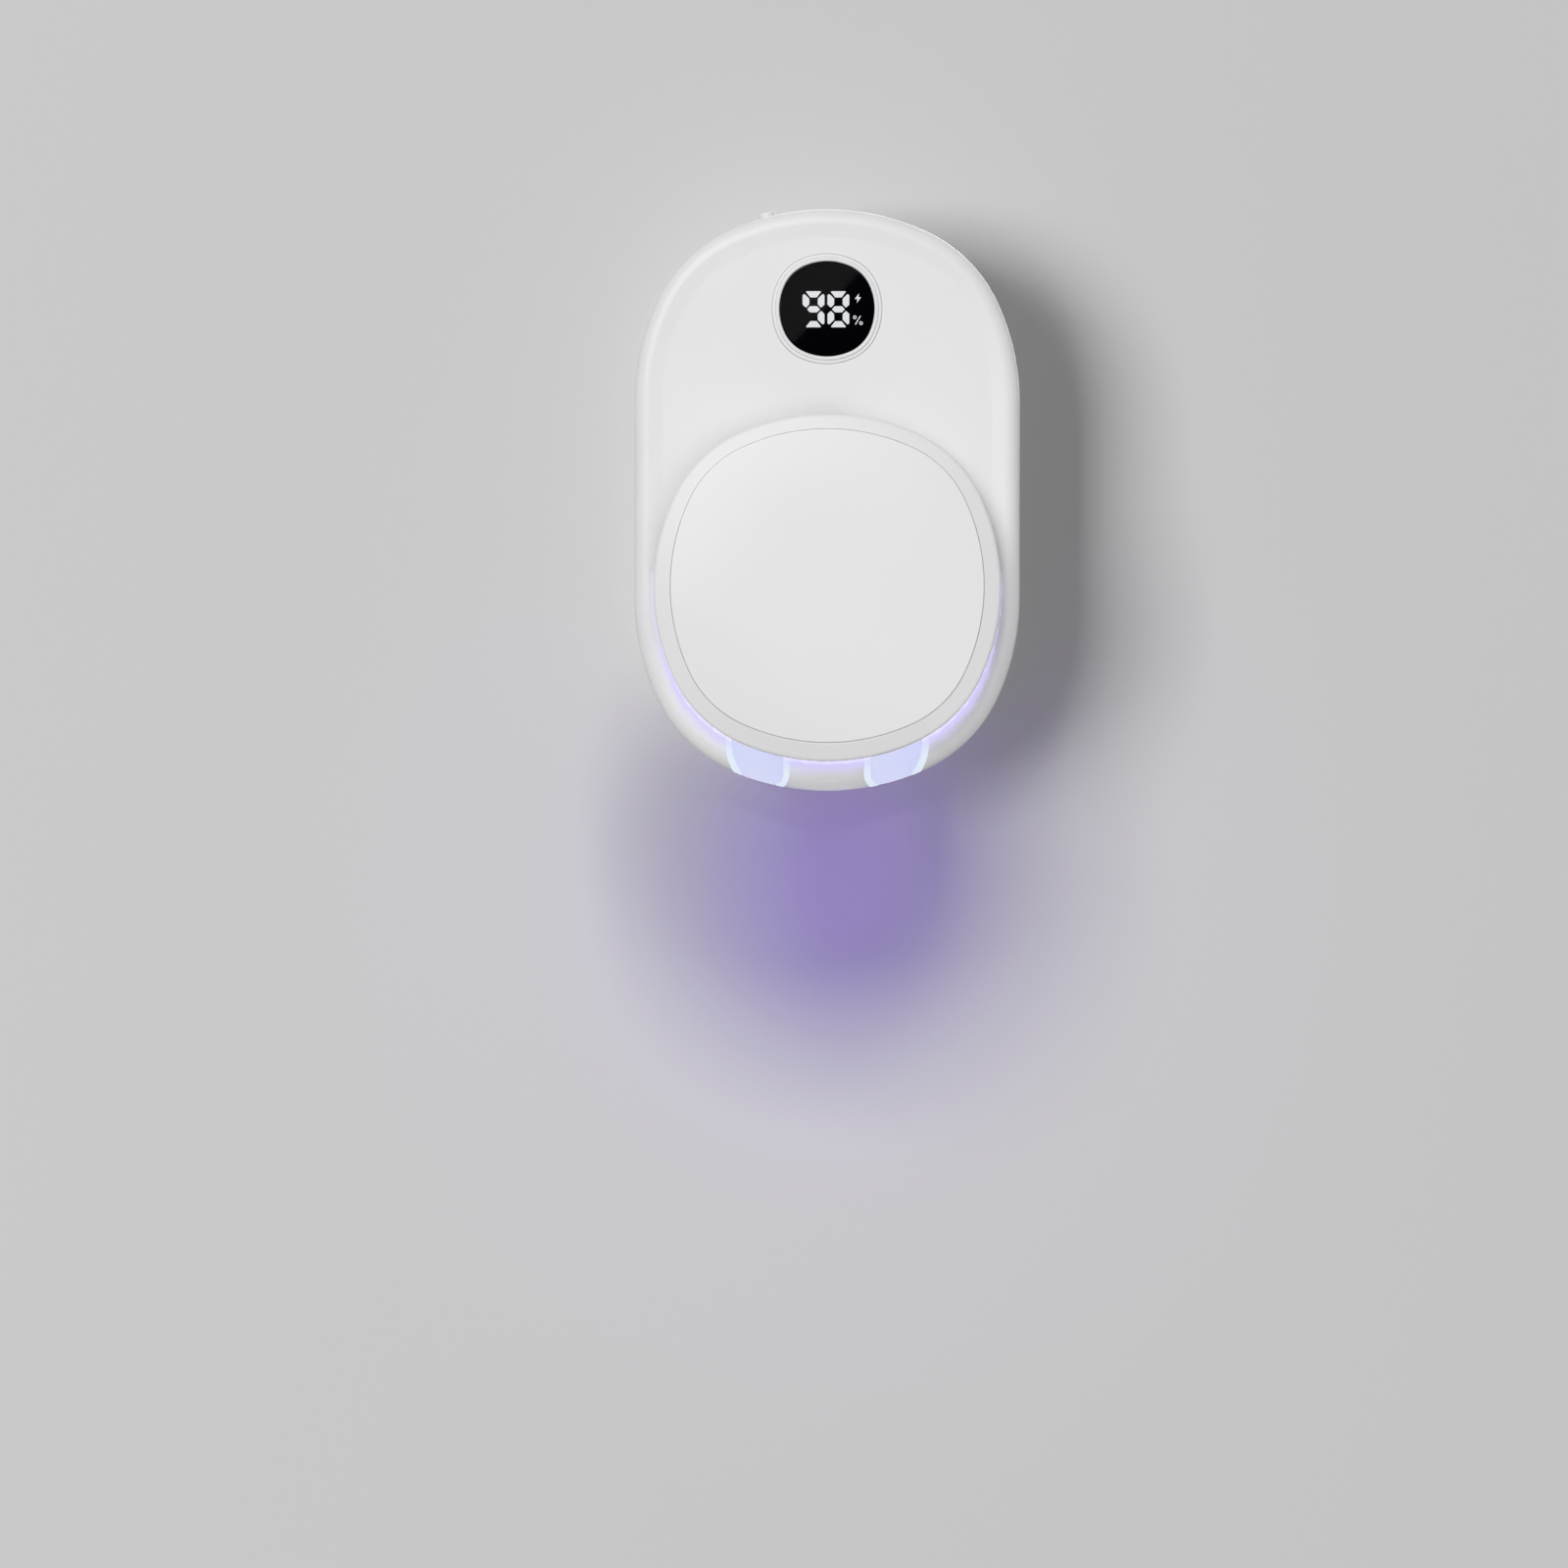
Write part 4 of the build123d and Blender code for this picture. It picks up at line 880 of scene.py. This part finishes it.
guard = plate(GUARD_WIDTH - 0.2, cell_size.z - 2, 0.4, guard_profile, guard_at)
amber_tape = finish("amber_tape", (0.62, 0.36, 0.06), (0.55, 0.30, 0.05), (0.18, 0.28), 0.004, 0.0006,
                    0.00001)
fixed("cell_pouch", pouch, cell_foil, "cell_foil", "battery_cell")
fixed("cell_guard", guard, amber_tape, "cell_foil")
foam_tape("battery_tape", 1.0, "casing")
wire_red = finish("wire_red", (0.55, 0.03, 0.02), (0.45, 0.02, 0.02), (0.4, 0.5), 0.004, 0.0004, 0.00001)
wire_white = finish("wire_white", (0.80, 0.80, 0.80), (0.72, 0.72, 0.72), (0.4, 0.5), 0.004, 0.0004,
                    0.00001)
wire_black = finish("wire_black", (0.03, 0.03, 0.03), (0.02, 0.02, 0.02), (0.4, 0.5), 0.004, 0.0004,
                    0.00001)
dress(wire_red, "battery_leads")
dress(wire_white, "led_leads")
dress(wire_black, "sensor_leads")
nickel = finish("nickel", (0.70, 0.68, 0.64), (0.64, 0.62, 0.58), (0.1, 0.2), 0.002, 0.0002, 0.000005,
                Metallic=1.0)
dress(nickel, "latch_magnet", "door_magnet", "hinge_pin")

# ---------------------------------------------------------------- power button
# A pill-shaped key in the crown, moulded in the same white ABS as the casing. It slides in a slot
# of the front shell and presses its switch through a plunger.

dress(shell_plastic, "power_button")

# ---------------------------------------------------------------- door
# The outer moulding carries a domed panel in front and a flat liner behind. The panel is
# flattest in its middle and falls away towards its rounded edge.

dress(shell_plastic, "door_shell")
cap_plastic = finish("cap_plastic", (0.885, 0.885, 0.885), (0.875, 0.875, 0.88), (0.275, 0.285), 0.03,
                     0.0005, 0.000001)
CAP_HALF, CAP_REACH, CAP_Z, CAP_TOP, CAP_DOME, CAP_SEAT = 32.0, 1.05, -17.8, 39.99, 0.9, 38.02
CAP_GAP, CAP_EDGE, CAP_ROUND = 0.03, 1.0, 0.22
CAP_ROWS, CAP_COLUMNS, ROW_CROWDING, DOME_POWER = 30, 160, 1.6, 4
dome_profile = []
for row in range(CAP_ROWS + 1):
    out = row / CAP_ROWS
    inset = CAP_HALF + (CAP_GAP + CAP_ROUND - CAP_HALF) * (1 - (1 - out) ** ROW_CROWDING)
    dome_profile.append((inset, CAP_TOP - CAP_DOME * (1 - inset / CAP_HALF) ** DOME_POWER))
rim_depth = dome_profile[-1][1] - CAP_ROUND
dome_profile += arc((CAP_GAP + CAP_ROUND, rim_depth), CAP_ROUND, 90, 180, 4)[1:]
dome_profile += [(CAP_GAP, CAP_SEAT), (CAP_HALF, CAP_SEAT)]
panel = wrapped("door_panel", dome_profile, CAP_HALF, CAP_REACH, cap_plastic, CAP_EDGE, steps=CAP_COLUMNS,
                centre_z=CAP_Z)
fit(panel, "door", "cap_plastic", "door_cap")

liner_plastic = finish("liner_plastic", (0.84, 0.84, 0.87), (0.81, 0.81, 0.84), (0.35, 0.45), 0.02, 0.0004,
                       0.00001)
dress(liner_plastic, "door_liner")
bumper = finish("bumper_rubber", (0.75, 0.75, 0.76), (0.70, 0.70, 0.72), (0.35, 0.5), 0.002, 0.0003,
                0.00001)
BUMPER_X, BUMPER_Z, BUMPER_BACK = 27.4, -37.0, 30.52
BUMPER_RADIUS, BUMPER_ROUND, BUMPER_HIGH = 1.5, 0.35, 0.86
bumper_stations = [(0.5, 0)]
for step in range(1, 7):
    angle = pi / 2 * step / 6
    bumper_stations.append((0.9 + (BUMPER_RADIUS - 0.9) * sin(angle), BUMPER_ROUND * (1 - cos(angle))))
bumper_stations.append((BUMPER_RADIUS, BUMPER_HIGH))
bumper_places = [(side * BUMPER_X, BUMPER_Z, BUMPER_BACK) for side in (-1, 1)]
dots = set_out("bumper_dots", turned(bumper_stations), bumper_places, bumper)
fit(dots, "door", "bumper_rubber", "door_bumpers")

# ---------------------------------------------------------------- light from the lamps
# Ultraviolet light leaves the two slots and the gap round the lower part of the door, and falls on
# the wall. Small lamps that the camera doesn't see stand in for it, and ride on their bodies.

violet = (0.29, 0.10, 1.0)
halo = area_light("halo", (2 * MM, -40 * MM, -83 * MM), (2 * MM, 0, -83 * MM), 34 * MM, 0.0085, violet,
                  36 * MM, lights=wall_only)
spill = area_light("spill", (1 * MM, -19 * MM, -60.5 * MM), (1 * MM, 6 * MM, -95 * MM), 44 * MM, 0.014,
                   violet, 14 * MM, lights=object_only)
edge_light = area_light("edge_light", (0, -26 * MM, -66 * MM), (0, -27.5 * MM, -59 * MM), 16 * MM, 0.0002,
                        (0.88, 0.88, 1.0), 3 * MM, lights=object_only)
for lamp in (halo, spill, edge_light):
    lamp.light_linking.blocker_collection = not_flag
    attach(lamp, "casing")


def soft_point(half, reach, turn, inset):
    """The point inside the soft-cornered outline at one turn about its centre."""
    side = half * (reach * bend + 1 - bend)
    corner = side - (side - half) / lean
    out = (side - corner) * sin(SIDE_SWEEP)
    across, upright = cos(turn), sin(turn)
    if min(abs(across), abs(upright)) > sin(SIDE_SWEEP):
        middle, radius = (out if across > 0 else -out, out if upright > 0 else -out), corner
    elif abs(across) > abs(upright):
        middle, radius = ((half - side) * (1 if across > 0 else -1), 0), side
    else:
        middle, radius = (0, (half - side) * (1 if upright > 0 else -1)), side
    return Vector((middle[0] + (radius - inset) * across, middle[1] + (radius - inset) * upright))


# The lamps of the gap stand end to end along the door's edge, at equal steps of its length.
DOOR_HALF, DOOR_Z, GAP_DEPTH, GAP_INSET, GAP_SPREAD = 35.5, -18.2, 30.6, 0.25, 0.15
GAP_LAMPS, FIRST_TURN, LAST_TURN, FINE_STEPS = 30, radians(176), radians(364), 400
GAP_POWER, GAP_WIDTH, GAP_OVERLAP = 0.00030, 0.3, 1.15
NEAR_BOTTOM, BOTTOM_DIM = 0.28, 0.7
fine_turns = [FIRST_TURN + (LAST_TURN - FIRST_TURN) * i / FINE_STEPS for i in range(FINE_STEPS + 1)]
fine_points = [soft_point(DOOR_HALF, SOFT_REACH, turn, GAP_INSET) for turn in fine_turns]
reached = [0.0]
for point, following in zip(fine_points, fine_points[1:]):
    reached.append(reached[-1] + (following - point).length)
spacing = reached[-1] / GAP_LAMPS
for i in range(GAP_LAMPS):
    k = min(range(len(reached)), key=lambda k: abs(reached[k] - (i + 0.5) * spacing))
    turn, (x, z) = fine_turns[k], fine_points[k]
    strength = 0.05 + 0.95 * min(1, max(0, -sin(turn) - 0.25) * 1.8)
    if abs(cos(turn)) < NEAR_BOTTOM:
        strength *= BOTTOM_DIM
    inner = Vector((x, -GAP_DEPTH, DOOR_Z + z)) * MM
    forward = Vector((cos(turn) * GAP_SPREAD, 1.0, sin(turn) * GAP_SPREAD)).normalized()
    lamp = area_light(f"gap_light_{i}", inner, inner + forward * MM, spacing * GAP_OVERLAP * MM,
                      GAP_POWER * strength, (0.56, 0.50, 1.0), GAP_WIDTH * MM)
    along = Vector((-sin(turn), 0, cos(turn)))
    frame_axes = Matrix((along, (-forward).cross(along), -forward)).transposed()
    lamp.rotation_quaternion = frame_axes.to_quaternion()
    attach(lamp, "door")
SLOT_X, SLOT_LAMP_Y, SLOT_LAMP_Z = 14.1, -24.5, -46.0
for side in (-1, 1):
    above = Vector((side * SLOT_X, SLOT_LAMP_Y, SLOT_LAMP_Z)) * MM
    lamp = area_light(f"slot_light_{side + 1}", above, above + Vector((0, 0.3, -1)) * MM, 7 * MM, 0.00055,
                      (0.78, 0.90, 1.0), 6 * MM)
    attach(lamp, "casing")
